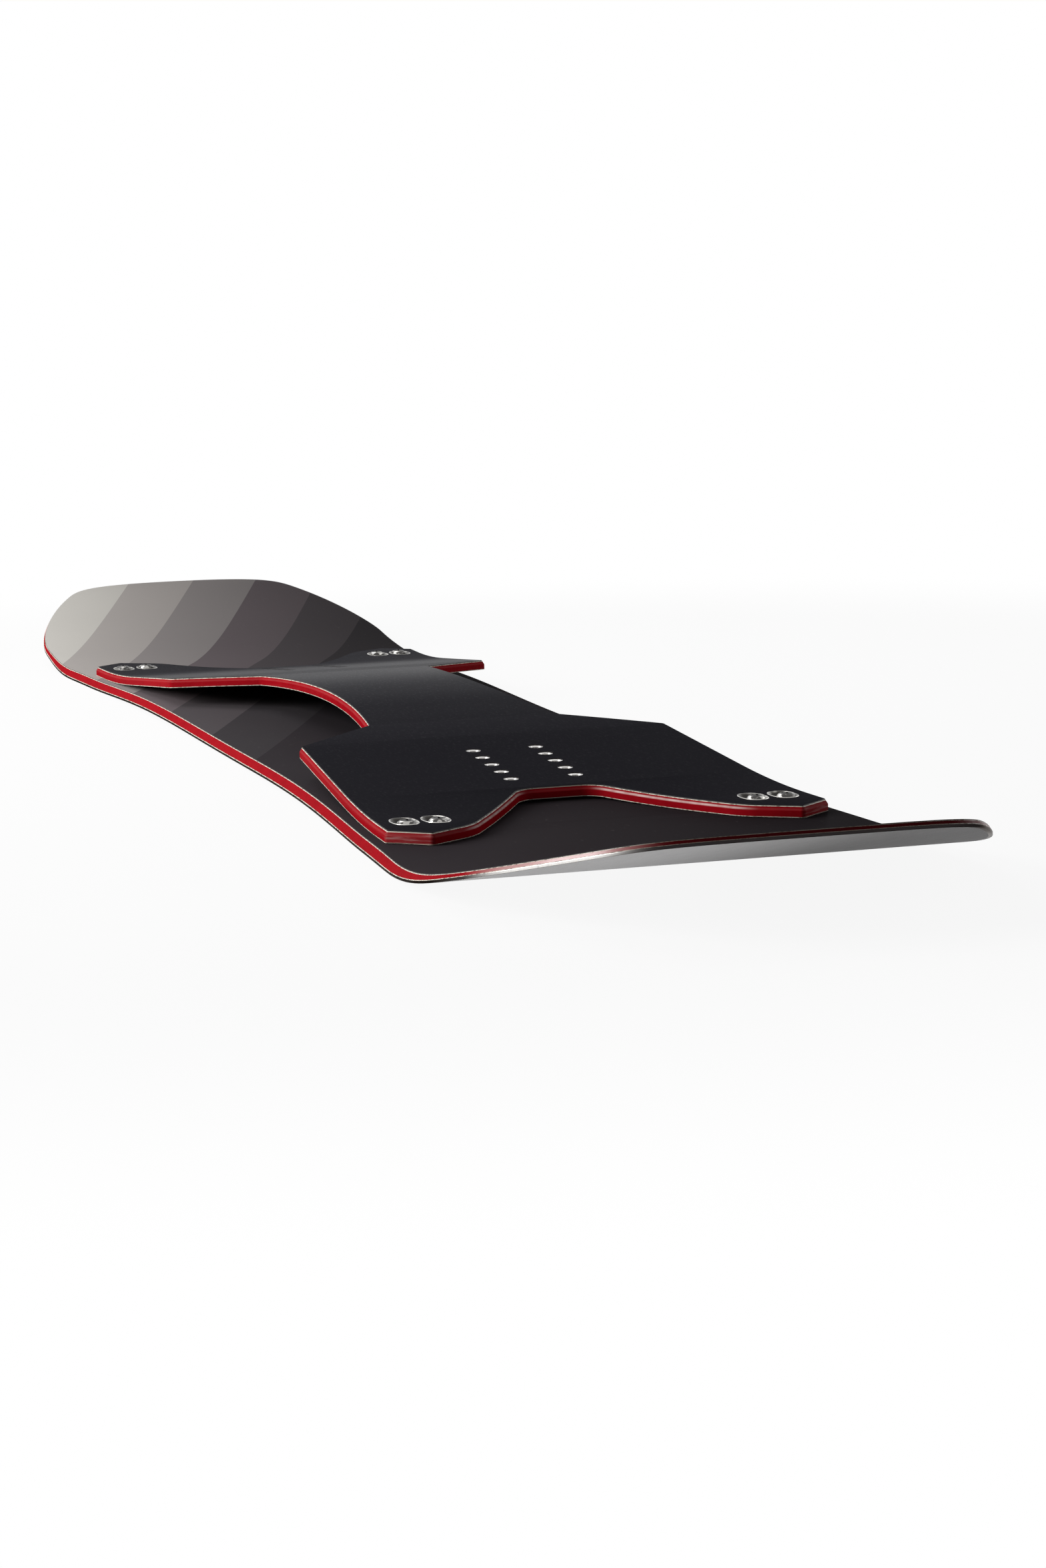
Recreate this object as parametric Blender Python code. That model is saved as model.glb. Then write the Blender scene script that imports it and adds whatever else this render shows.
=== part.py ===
"""Snowboard with an arched upper deck, in metres with +Z up.

X runs along the board towards the tail, Y runs across it, and Z = 0 is the
plane that the board lies on. Shapes are drawn with the deck's centre at X = 0
and are carried by one empty that puts the object's centre at the origin.
Every piece is flat stock that is cut to its outline and then bent: the board
to its camber and raised tips, the deck to its arch.
"""
import math
from collections import namedtuple

import bmesh
import bpy
from mathutils import Matrix, Vector
from mathutils.geometry import interpolate_bezier

MM = 0.001

# Lower board: plan between the tips
WAIST_HALF_WIDTH = 127 * MM
SIDECUT_RADIUS = 7.8
SIDECUT_END = 520 * MM
SIDECUT_PLACES = tuple(x * MM for x in (0, 100, 200, 280, 345, 400, 430, 500))

# Lower board: the two tips, each a plan curve and a rise that eases into a slope
Tip = namedtuple("Tip", (
    "reach", "widest", "widest_handle", "shoulder", "shoulder_slope", "shoulder_handles",
    "end_handle", "rise_slope", "rise_blend",
))
TAIL_TIP = Tip(
    reach=769.4 * MM,
    widest=(607 * MM, 147.9 * MM),
    widest_handle=39.2 * MM,
    shoulder=(734.4 * MM, 102.1 * MM),
    shoulder_slope=0.584,
    shoulder_handles=(39.9 * MM, 33.7 * MM),
    end_handle=71.3 * MM,
    rise_slope=0.291,
    rise_blend=136.7 * MM,
)
NOSE_TIP = Tip(
    reach=785.4 * MM,
    widest=(606 * MM, 145.6 * MM),
    widest_handle=38.1 * MM,
    shoulder=(749.4 * MM, 104.7 * MM),
    shoulder_slope=0.565,
    shoulder_handles=(45.3 * MM, 22.9 * MM),
    end_handle=84.2 * MM,
    rise_slope=0.259,
    rise_blend=128.4 * MM,
)
TIP_RISE_START = 500 * MM

# Lower board: side view
CONTACT_HALF_LENGTH = 430 * MM
CAMBER_MIDDLE = 1.2 * MM
CAMBER_UNDER_FEET = 15.5 * MM
BOARD_THICKNESS = 7.2 * MM
TIP_THICKNESS = 4.0 * MM
TAPER_START = 480 * MM
TAPER_END = 660 * MM

# Lower board: layers
BOND_GAP = 0.2 * MM
BASE_THICKNESS = 1.0 * MM
EDGE_HEIGHT = 1.5 * MM
EDGE_WIDTH = 2.2 * MM
EDGE_FLANGE_REACH = 6 * MM
LAMINATE = 0.4 * MM
TOPSHEET = 0.35 * MM
SIDE_SLANT = 0.6
SIDEWALL_WIDTH = 12 * MM
CORE_HALF_LENGTH = 515 * MM
BASE_SEAM = 500 * MM
BEYOND_TIPS = 1.0

# Upper deck: plan corners of the red edge (x, y, corner radius, steps), end cut-out to waist
DECK_CORNERS = (
    (355.5 * MM, 22.5 * MM, 14 * MM, 2),
    (453.5 * MM, 78.0 * MM, 40 * MM, 3),
    (474.3 * MM, 108.3 * MM, 3 * MM, 1),
    (455.0 * MM, 130.6 * MM, 3 * MM, 1),
    (205.4 * MM, 119.6 * MM, 5 * MM, 2),
    (155.0 * MM, 63.4 * MM, 3 * MM, 1),
)
SMALLEST_CORNER = 1.2 * MM
DECK_WAIST_HALF_WIDTH = 53.5 * MM
DECK_WAIST_STEPS = 4

# Upper deck: side view
DECK_THICKNESS = 7.0 * MM
DECK_REST_GAP = 0.3 * MM
ARCH_RISE = 25.1 * MM
ARCH_HALF_SPAN = 430 * MM
ARCH_FULLNESS = 0.17
BINDING_FLAT = (240 * MM, 335 * MM)
BEND_LINES = tuple(x * MM for x in (0, 60, 120, 180, 240, 335, 370, 402, 430))

# Upper deck: layers
DECK_LAMINATE = 0.5 * MM
DECK_TOPSHEET = 0.5 * MM
DECK_EDGE_WIDTH = 7 * MM
DECK_BEVEL_START = 3.6 * MM
DECK_BEVEL_WIDTH = 1.3 * MM

# Fasteners
INSERT_SPACING_X = 20 * MM
INSERT_SPACING_Y = 40 * MM
INSERTS_IN_ROW = 5
INSERT_GROUP_X = 287.2 * MM
INSERT_RADIUS = 4.7 * MM
INSERT_FLANGE_RADIUS = 7.5 * MM
INSERT_FLANGE = 0.8 * MM
INSERT_SINK = 0.4 * MM
THREAD_CORE_RADIUS = 2.6 * MM
SCREW_X = 434 * MM
SCREW_Y = (94.4 * MM, 112.7 * MM)
SCREW_RADIUS = 3.0 * MM
SCREW_HEAD_RADIUS = 5.6 * MM
SCREW_HEAD_SINK = 0.7 * MM
SCREW_DOME = 2.1 * MM
SCREW_DOME_RINGS = ((0.72, 0.62), (0.38, 0.92))
SCREW_END_GAP = 0.5 * MM
RECESS_LENGTH = 6.4 * MM
RECESS_WIDTH = 1.3 * MM
RECESS_DEPTH = 2.6 * MM
RECESS_TAPER = 0.55
CUP_X = 429 * MM
CUP_HALVES = (13.5 * MM, 7.9 * MM)
CUP_FULLNESS = 2.4
CUP_DEPTH = 3.3 * MM
CUP_LIP = 0.4 * MM
CUP_WALL = 0.9 * MM
CUP_RIM_WIDTH = 1.1 * MM
CUP_RIM_RISE = 0.3 * MM
SLOT_HALVES = (8.9 * MM, 3.6 * MM)
SLOT_FULLNESS = 3.2
FIT_GAP = 0.3 * MM
CUP_STEPS = 20
SCREW_STEPS = 12
INSERT_STEPS = 8
FLANGE_END_STEPS = 4
TOLERANCE = 1e-7

OBJECT_SHIFT = (NOSE_TIP.reach - TAIL_TIP.reach) / 2


def clear_scene():
    """Remove every object that the file holds."""
    for item in list(bpy.data.objects):
        bpy.data.objects.remove(item)


def make_material(name, colour, roughness, metallic=0.0):
    """Make a plain Principled material."""
    material = bpy.data.materials.new(name)
    material.use_nodes = True
    shader = material.node_tree.nodes["Principled BSDF"]
    shader.inputs["Base Color"].default_value = (*colour, 1.0)
    shader.inputs["Roughness"].default_value = roughness
    shader.inputs["Metallic"].default_value = metallic
    return material


def add_object(name, bm, material, parent):
    """Turn a bmesh into a named object under the empty."""
    bmesh.ops.recalc_face_normals(bm, faces=bm.faces)
    mesh = bpy.data.meshes.new(name)
    bm.to_mesh(mesh)
    bm.free()
    mesh.materials.append(material)
    item = bpy.data.objects.new(name, mesh)
    bpy.context.collection.objects.link(item)
    item.parent = parent
    return item


def combine(item, tool, operation="DIFFERENCE"):
    """Cut one object with another, or join it to the other."""
    modifier = item.modifiers.new(operation.lower(), "BOOLEAN")
    modifier.operation = operation
    modifier.solver = "EXACT"
    modifier.object = tool


def hide_tool(item):
    """Mark an object as one that only shapes others."""
    item.hide_render = True
    item.display_type = "WIRE"
    return item


# Side view of the lower board

def smooth_step(x, start, end):
    """Ease from 0 at start to 1 at end."""
    t = min(max((x - start) / (end - start), 0.0), 1.0)
    return t * t * (3 - 2 * t)


def base_height(x):
    """Height of the running base: shallow camber between the feet, raised tips."""
    reach = abs(x)
    q = min((reach / CONTACT_HALF_LENGTH) ** 2, 1.0)
    camber = (CAMBER_MIDDLE + CAMBER_UNDER_FEET * q) * (1 - q) ** 2
    past = max(reach - TIP_RISE_START, 0.0)
    tip = TAIL_TIP if x > 0 else NOSE_TIP
    return camber + tip.rise_slope * (math.hypot(past, tip.rise_blend) - tip.rise_blend)


def board_thickness(x):
    """Thickness of the lower board, thinner towards the tips."""
    taper = smooth_step(abs(x), TAPER_START, TAPER_END)
    return BOARD_THICKNESS + (TIP_THICKNESS - BOARD_THICKNESS) * taper


def above_base(height):
    """Level that stays a fixed height above the running base."""
    return lambda x: height


def below_top(depth):
    """Level that stays a fixed depth below the board's top."""
    return lambda x: board_thickness(x) - depth


LOWER_LAMINATE_UNDER = EDGE_HEIGHT + BOND_GAP
CORE_UNDER = LOWER_LAMINATE_UNDER + LAMINATE + BOND_GAP
UPPER_LAMINATE_OVER = TOPSHEET + BOND_GAP
CORE_OVER = UPPER_LAMINATE_OVER + LAMINATE + BOND_GAP


# Plan of the lower board

def tip_quarter(tip):
    """Points of one quarter of the outline, from the middle to a tip, X and Y above 0."""
    points = []
    for x in SIDECUT_PLACES:
        points.append((x, WAIST_HALF_WIDTH + x * x / (2 * SIDECUT_RADIUS)))
    end_y = WAIST_HALF_WIDTH + SIDECUT_END ** 2 / (2 * SIDECUT_RADIUS)
    end_slope = SIDECUT_END / SIDECUT_RADIUS
    widest_x, widest_y = tip.widest
    third = (widest_x - SIDECUT_END) / 3
    before, after = tip.shoulder_handles
    shoulder_x, shoulder_y = tip.shoulder
    shoulder_in = (shoulder_x - before, shoulder_y + before * tip.shoulder_slope)
    shoulder_out = (shoulder_x + after, shoulder_y - after * tip.shoulder_slope)
    spans = (
        ((SIDECUT_END, end_y), (SIDECUT_END + third, end_y + end_slope * third),
         (widest_x - third, widest_y), tip.widest, 4),
        (tip.widest, (widest_x + tip.widest_handle, widest_y), shoulder_in, tip.shoulder, 7),
        (tip.shoulder, shoulder_out, (tip.reach, tip.end_handle), (tip.reach, 0.0), 9),
    )
    for start, first, second, end, count in spans:
        knots = [Vector((*point, 0.0)) for point in (start, first, second, end)]
        curve = interpolate_bezier(*knots, count)
        points.extend((point.x, point.y) for point in curve[:-1])
    points.append((tip.reach, 0.0))
    return points


def board_side():
    """Points of the outline's Y > 0 side, from the nose to the tail."""
    nose = [(-x, y) for x, y in tip_quarter(NOSE_TIP)[1:]]
    return nose[::-1] + tip_quarter(TAIL_TIP)


def side_normals(points):
    """Inward unit normal at each point of a side that runs from nose to tail."""
    normals = []
    last = len(points) - 1
    for index in range(len(points)):
        if index == 0:
            normals.append(Vector((1.0, 0.0)))
        elif index == last:
            normals.append(Vector((-1.0, 0.0)))
        else:
            ahead = Vector(points[index + 1]) - Vector(points[index - 1])
            normals.append(Vector((ahead.y, -ahead.x)).normalized())
    return normals


SIDE = board_side()
NORMALS = side_normals(SIDE)


def side_inset(height):
    """How far the slanted side has moved in at a height above the base."""
    return max(height - EDGE_HEIGHT, 0.0) * SIDE_SLANT


def board_line(level, extra=0.0):
    """The side's outline at a level, moved in by the slant and by extra."""
    line = []
    for point, normal in zip(SIDE, NORMALS):
        height = level(point[0])
        place = Vector(point) + normal * (side_inset(height) + extra)
        line.append(Vector((place.x, max(place.y, 0.0), base_height(place.x) + height)))
    return line


def mirrored(line):
    """The same line on the other side of the board."""
    return [Vector((point.x, -point.y, point.z)) for point in line]


def plate(name, low, high, material, parent):
    """Solid between two outlines, each given as its Y > 0 side from end to end."""
    bm = bmesh.new()
    rows = []
    for line in (low, high):
        right = [bm.verts.new(point) for point in line]
        left = [bm.verts.new(point) if point.y < -TOLERANCE else right[index]
                for index, point in enumerate(mirrored(line))]
        rows.append((right, left))
    (low_right, low_left), (high_right, high_left) = rows
    for index in range(len(low) - 1):
        ahead = index + 1
        quads = (
            (low_left[index], low_left[ahead], low_right[ahead], low_right[index]),
            (high_left[index], high_left[ahead], high_right[ahead], high_right[index]),
            (low_right[index], low_right[ahead], high_right[ahead], high_right[index]),
            (low_left[index], low_left[ahead], high_left[ahead], high_left[index]),
        )
        for quad in quads:
            bm.faces.new(dict.fromkeys(quad))
    ends = ((low_right[0], low_left[0], high_left[0], high_right[0]),
            (low_right[-1], low_left[-1], high_left[-1], high_right[-1]))
    for quad in ends:
        if len(set(quad)) == 4:
            bm.faces.new(quad)
    bmesh.ops.triangulate(bm, faces=bm.faces)
    return add_object(name, bm, material, parent)


def skin(outlines, ring=False):
    """Solid whose skin runs through closed outlines: capped, or joined up as a ring."""
    bm = bmesh.new()
    loops = [[bm.verts.new(point) for point in outline] for outline in outlines]
    if not ring:
        bm.faces.new(loops[0])
        bm.faces.new(loops[-1])
    for near, far in zip(loops, loops[1:] + loops[:1] if ring else loops[1:]):
        for index in range(len(near)):
            ahead = (index + 1) % len(near)
            bm.faces.new((near[index], near[ahead], far[ahead], far[index]))
    return bm


def strip(name, sections, material, parent):
    """Solid swept through a list of closed sections, capped at both ends."""
    bm = skin(sections)
    bmesh.ops.triangulate(bm, faces=bm.faces)
    return add_object(name, bm, material, parent)


def clipped(line, start, end):
    """The part of a line between two X places, with new points at its ends."""
    kept = []
    for near, far in zip(line, line[1:]):
        for edge in (start, end):
            if near.x < edge < far.x:
                kept.append(near.lerp(far, (edge - near.x) / (far.x - near.x)))
        if start < far.x < end:
            kept.append(far)
    kept.sort(key=lambda point: point.x)
    return kept


# Round pieces

def lathe(profile, steps):
    """Closed solid of revolution from (radius, z) points that start and end on the axis."""
    bm = bmesh.new()
    rings = []
    for radius, z in profile:
        if radius == 0:
            rings.append([bm.verts.new((0, 0, z))] * steps)
            continue
        ring = []
        for step in range(steps):
            angle = 2 * math.pi * (step + 0.5) / steps
            ring.append(bm.verts.new((radius * math.cos(angle), radius * math.sin(angle), z)))
        rings.append(ring)
    for near, far in zip(rings, rings[1:]):
        for step in range(steps):
            ahead = (step + 1) % steps
            corners = dict.fromkeys((near[step], near[ahead], far[ahead], far[step]))
            bm.faces.new(corners)
    return bm


def oval(halves, extra, fullness, z):
    """Outline of an oval at one height; a fullness over 2 squares up its ends."""
    outline = []
    for step in range(CUP_STEPS):
        angle = 2 * math.pi * (step + 0.5) / CUP_STEPS
        place = []
        for half, share in zip(halves, (math.cos(angle), math.sin(angle))):
            place.append((half + extra) * math.copysign(abs(share) ** (2 / fullness), share))
        outline.append((*place, z))
    return outline


def merge_copies(source, places):
    """One bmesh that holds a copy of the source at every place."""
    joined = bmesh.new()
    mesh = bpy.data.meshes.new("copies")
    source.to_mesh(mesh)
    source.free()
    for place in places:
        start = len(joined.verts)
        joined.from_mesh(mesh)
        joined.verts.ensure_lookup_table()
        bmesh.ops.transform(joined, matrix=place, verts=joined.verts[start:])
    bpy.data.meshes.remove(mesh)
    return joined


# Side view and plan of the upper deck

def arch_curve(x):
    """Rise of the deck over its rest height: a beam held flat at both ends."""
    q = min((abs(x) / ARCH_HALF_SPAN) ** 2, 1.0)
    return ARCH_RISE * (1 - q) ** 2 * (1 + ARCH_FULLNESS * q)


def arch_rise(x):
    """Rise of the deck between its bend lines, where each facet is flat."""
    reach = abs(x)
    for inner, outer in zip(BEND_LINES, BEND_LINES[1:]):
        if reach <= outer:
            share = (reach - inner) / (outer - inner)
            return arch_curve(inner) * (1 - share) + arch_curve(outer) * share
    return 0.0


DECK_UNDER = BOARD_THICKNESS + DECK_REST_GAP


def deck_quarter(inset):
    """Rounded corners of one quarter of the deck, moved in from the red edge."""
    corners = list(DECK_CORNERS)
    waist_end, waist_y = DECK_CORNERS[-1][:2]
    for step in range(1, DECK_WAIST_STEPS):
        share = 1 - step / DECK_WAIST_STEPS
        y = DECK_WAIST_HALF_WIDTH + (waist_y - DECK_WAIST_HALF_WIDTH) * share ** 2
        corners.append((waist_end * share, y, 0.0, 0))
    start = (corners[0][0], 0.0)
    end = (0.0, DECK_WAIST_HALF_WIDTH)
    chain = [Vector(corner[:2]) for corner in (start, *corners, end)]
    normals = []
    for near, far in zip(chain, chain[1:]):
        along = (far - near).normalized()
        normals.append(Vector((-along.y, along.x)))
    moved = []
    for index, corner in enumerate(corners):
        before, after = normals[index], normals[index + 1]
        bisector = (before + after).normalized()
        moved.append(chain[index + 1] + bisector * inset / bisector.dot(before))
    moved.insert(0, Vector((moved[0].x, 0.0)))
    moved.append(Vector((0.0, chain[-1].y - inset)))
    return moved, normals, corners


def deck_side(inset):
    """Outline points of the deck's X > 0, Y > 0 quarter, with its corners rounded."""
    moved, normals, corners = deck_quarter(inset)
    points = []
    for index, corner in enumerate(corners):
        place = moved[index + 1]
        if corner[2] == 0:
            points.append(place)
            continue
        turn_in = (moved[index] - place).normalized()
        turn_out = (moved[index + 2] - place).normalized()
        opening = turn_in.angle(turn_out)
        convex = normals[index].dot(turn_out) > 0
        radius = corner[2] - inset if convex else corner[2] + inset
        radius = max(radius, SMALLEST_CORNER)
        reach = radius / math.tan(opening / 2)
        centre = place + (turn_in + turn_out).normalized() * radius / math.sin(opening / 2)
        first = place + turn_in * reach - centre
        last = place + turn_out * reach - centre
        sweep = first.angle_signed(last)
        steps = corner[3]
        for step in range(steps + 1):
            spin = Matrix.Rotation(-sweep * step / steps, 2)
            points.append(centre + spin @ first)
    return points


def deck_loop(inset, height):
    """Whole outline of the deck at one height, still flat."""
    quarter = deck_side(inset)
    waist = Vector((0.0, DECK_WAIST_HALF_WIDTH - inset))
    half = quarter + [waist] + [Vector((-point.x, point.y)) for point in reversed(quarter)]
    loop = half + [Vector((point.x, -point.y)) for point in reversed(half)]
    return [Vector((point.x, point.y, DECK_UNDER + height)) for point in loop]


def bend_to_arch(bm):
    """Crease a flat solid along the bend lines and lift it to the arch."""
    for line in BEND_LINES:
        for x in {line, -line}:
            geometry = list(bm.verts) + list(bm.edges) + list(bm.faces)
            bmesh.ops.bisect_plane(bm, geom=geometry, dist=TOLERANCE, plane_co=(x, 0, 0), plane_no=(1, 0, 0))
    for vert in bm.verts:
        vert.co.z += arch_rise(vert.co.x)


def deck_plate(name, low, high, material, parent):
    """Solid layer of the deck between two outlines."""
    bm = skin((low, high))
    bend_to_arch(bm)
    return add_object(name, bm, material, parent)


def deck_half_ring(name, loops, sign, material, parent):
    """Nose half (sign -1) or tail half of a ring that runs through a list of outlines."""
    bm = skin(loops, ring=True)
    geometry = list(bm.verts) + list(bm.edges) + list(bm.faces)
    bmesh.ops.bisect_plane(bm, geom=geometry, dist=TOLERANCE, plane_co=(sign * BOND_GAP / 2, 0, 0),
                           plane_no=(sign, 0, 0), clear_inner=True)
    bmesh.ops.holes_fill(bm, edges=[edge for edge in bm.edges if edge.is_boundary])
    bend_to_arch(bm)
    return add_object(name, bm, material, parent)


# Fastener places

def insert_places():
    """Name and place of each binding insert, square to the sloping deck."""
    start, end = BINDING_FLAT
    slope = (arch_curve(end) - arch_curve(start)) / (end - start)
    places = []
    for group, sign in (("nose", -1), ("tail", 1)):
        for row, side in (("left", -1), ("right", 1)):
            for number in range(INSERTS_IN_ROW):
                offset = (number - (INSERTS_IN_ROW - 1) / 2) * INSERT_SPACING_X
                reach = INSERT_GROUP_X + offset
                foot = Vector((sign * reach, side * INSERT_SPACING_Y / 2, DECK_UNDER + arch_rise(reach)))
                tilt = Matrix.Rotation(-sign * math.atan(slope), 4, "Y")
                name = f"binding_insert_{group}_{row}_{number + 1}"
                places.append((name, Matrix.Translation(foot) @ tilt))
    return places


def wing_places(reach, height):
    """Name and place of each fastener on the deck's wings, at one distance and height."""
    places = []
    for group, x in (("nose", -reach), ("tail", reach)):
        for side, sign in (("left", -1), ("right", 1)):
            for position, y in zip(("inner", "outer"), SCREW_Y):
                places.append((f"{group}_{side}_{position}", Matrix.Translation((x, sign * y, height))))
    return places


# Pieces of the lower board

def build_base(material, parent):
    """Running base between the steel edges, with a seam where each tip starts to rise."""
    inset = EDGE_WIDTH + BOND_GAP
    low = board_line(above_base(0.0), inset)
    high = board_line(above_base(BASE_THICKNESS), inset)
    near = BASE_SEAM - BOND_GAP / 2
    past = BASE_SEAM + BOND_GAP / 2
    spans = (("nose", -BEYOND_TIPS, -past), ("middle", -near, near), ("tail", past, BEYOND_TIPS))
    for place, start, end in spans:
        plate(f"base_sheet_{place}", clipped(low, start, end), clipped(high, start, end),
              material, parent)


def edge_section(index, sign):
    """L-shaped section of a steel edge at one point of the outline."""
    flange_under = BASE_THICKNESS + BOND_GAP
    profile = (
        (0.0, 0.0), (EDGE_WIDTH, 0.0), (EDGE_WIDTH, flange_under),
        (EDGE_FLANGE_REACH, flange_under), (EDGE_FLANGE_REACH, EDGE_HEIGHT), (0.0, EDGE_HEIGHT),
    )
    section = []
    for inset, height in profile:
        place = Vector(SIDE[index]) + NORMALS[index] * inset
        section.append(Vector((place.x, sign * max(place.y, 0.0), base_height(place.x) + height)))
    return section


def build_edges(material, parent):
    """Two steel edges, round the nose and round the tail, that meet at the waist."""
    middle = len(SIDE) // 2
    spans = (("nose", -1, range(middle, -1, -1)), ("tail", 1, range(middle, len(SIDE))))
    for place, ahead, indices in spans:
        left = [edge_section(index, -1) for index in indices]
        right = [edge_section(index, 1) for index in indices]
        for point in left[0] + right[0]:
            point.x = ahead * BOND_GAP / 2
        strip(f"steel_edge_{place}", left + right[-2::-1], material, parent)


def build_core(materials, parent):
    """Wood core with a sidewall on each side and a spacer in each tip."""
    low = board_line(above_base(CORE_UNDER))
    high = board_line(below_top(CORE_OVER))
    inner_low = board_line(above_base(CORE_UNDER), SIDEWALL_WIDTH)
    inner_high = board_line(below_top(CORE_OVER), SIDEWALL_WIDTH)
    end = CORE_HALF_LENGTH
    wood = [clipped(line, -end, end) for line in (inner_low, inner_high)]
    for line in wood:
        for point in line:
            point.y -= BOND_GAP
    core = plate("wood_core", *wood, materials["wood"], parent)
    sides = [clipped(line, -end, end) for line in (low, inner_low, inner_high, high)]
    for side, sign in (("left", -1), ("right", 1)):
        sections = [[Vector((point.x, sign * point.y, point.z)) for point in section]
                    for section in zip(*sides)]
        strip(f"sidewall_{side}", sections, materials["sidewall"], parent)
    past = end + BOND_GAP
    for place, start, finish in (("nose", -BEYOND_TIPS, -past), ("tail", past, BEYOND_TIPS)):
        plate(f"tip_spacer_{place}", clipped(low, start, finish), clipped(high, start, finish),
              materials["sidewall"], parent)
    return core


def build_skins(materials, parent):
    """Laminates under and over the core, and the topsheet."""
    plate("lower_laminate", board_line(above_base(LOWER_LAMINATE_UNDER)),
          board_line(above_base(LOWER_LAMINATE_UNDER + LAMINATE)), materials["laminate"], parent)
    upper = plate("upper_laminate", board_line(below_top(UPPER_LAMINATE_OVER + LAMINATE)),
                  board_line(below_top(UPPER_LAMINATE_OVER)), materials["laminate"], parent)
    topsheet = plate("topsheet", board_line(below_top(TOPSHEET)), board_line(below_top(0.0)),
                     materials["topsheet"], parent)
    return upper, topsheet


def threaded_insert(bottom, top, bore, place):
    """Flanged insert with a blind hole, from its underside to its top."""
    floor = bottom + INSERT_FLANGE
    bm = lathe((
        (0.0, bottom), (INSERT_FLANGE_RADIUS, bottom), (INSERT_FLANGE_RADIUS, floor),
        (INSERT_RADIUS, floor), (INSERT_RADIUS, top), (bore, top), (bore, floor), (0.0, floor),
    ), INSERT_STEPS)
    bmesh.ops.transform(bm, matrix=place, verts=bm.verts)
    return bm


def insert_pocket(bottom, top):
    """Cutter for the pocket that holds a flanged insert."""
    flange = INSERT_FLANGE_RADIUS + FIT_GAP
    shoulder = bottom + INSERT_FLANGE + BOND_GAP
    barrel = INSERT_RADIUS + FIT_GAP
    return lathe((
        (0.0, bottom - BOND_GAP / 2), (flange, bottom - BOND_GAP / 2), (flange, shoulder),
        (barrel, shoulder), (barrel, top + FIT_GAP), (0.0, top + FIT_GAP),
    ), INSERT_STEPS)


def flange_section(centre, radius, z):
    """Outline of a twin insert's flange at one height: a bar across the board with round ends."""
    half = (SCREW_Y[1] - SCREW_Y[0]) / 2
    section = []
    for turn, side in ((0.0, 1), (math.pi, -1)):
        for step in range(FLANGE_END_STEPS + 1):
            angle = turn + math.pi * step / FLANGE_END_STEPS
            across = side * half + radius * math.sin(angle)
            section.append(centre + Vector((radius * math.cos(angle), across, z)))
    return section


def barrels(name, centre, radius, bottom, top, material, parent):
    """Tool with the two round solids on a wing's screws."""
    half = (SCREW_Y[1] - SCREW_Y[0]) / 2
    source = lathe(((0.0, bottom), (radius, bottom), (radius, top), (0.0, top)), INSERT_STEPS)
    places = [Matrix.Translation(centre + Vector((0.0, side * half, 0.0))) for side in (-1, 1)]
    return hide_tool(add_object(name, merge_copies(source, places), material, parent))


def build_pad_inserts(layers, material, parent):
    """Twin inserts in the lower board that take the two screws of each wing."""
    bottom = CORE_UNDER
    floor = bottom + INSERT_FLANGE
    top = BOARD_THICKNESS
    for end, sign_x in (("nose", -1), ("tail", 1)):
        for side, sign_y in (("left", -1), ("right", 1)):
            wing = f"{end}_{side}"
            centre = Vector((sign_x * SCREW_X, sign_y * sum(SCREW_Y) / 2, 0.0))
            insert = strip(f"pad_insert_{wing}", [
                flange_section(centre, INSERT_FLANGE_RADIUS, z) for z in (bottom, floor)], material, parent)
            outside = barrels(f"tool_barrels_{wing}", centre, INSERT_RADIUS,
                              floor - INSERT_FLANGE / 2, top, material, parent)
            bores = barrels(f"tool_bores_{wing}", centre, SCREW_RADIUS + FIT_GAP,
                            floor, top + FIT_GAP, material, parent)
            combine(insert, outside, "UNION")
            combine(insert, bores)
            pocket = hide_tool(strip(f"tool_pocket_{wing}", [
                flange_section(centre, INSERT_FLANGE_RADIUS + FIT_GAP, z)
                for z in (bottom - BOND_GAP / 2, floor + BOND_GAP)], material, parent))
            holes = barrels(f"tool_holes_{wing}", centre, INSERT_RADIUS + FIT_GAP,
                            bottom, top + FIT_GAP, material, parent)
            combine(layers[0], pocket)
            for layer in layers:
                combine(layer, holes)


# Pieces of the upper deck

DECK_CORE_UNDER = DECK_LAMINATE + BOND_GAP
DECK_TOPSHEET_UNDER = DECK_THICKNESS - DECK_TOPSHEET
DECK_CORE_OVER = DECK_TOPSHEET_UNDER - 2 * BOND_GAP - DECK_LAMINATE


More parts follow.
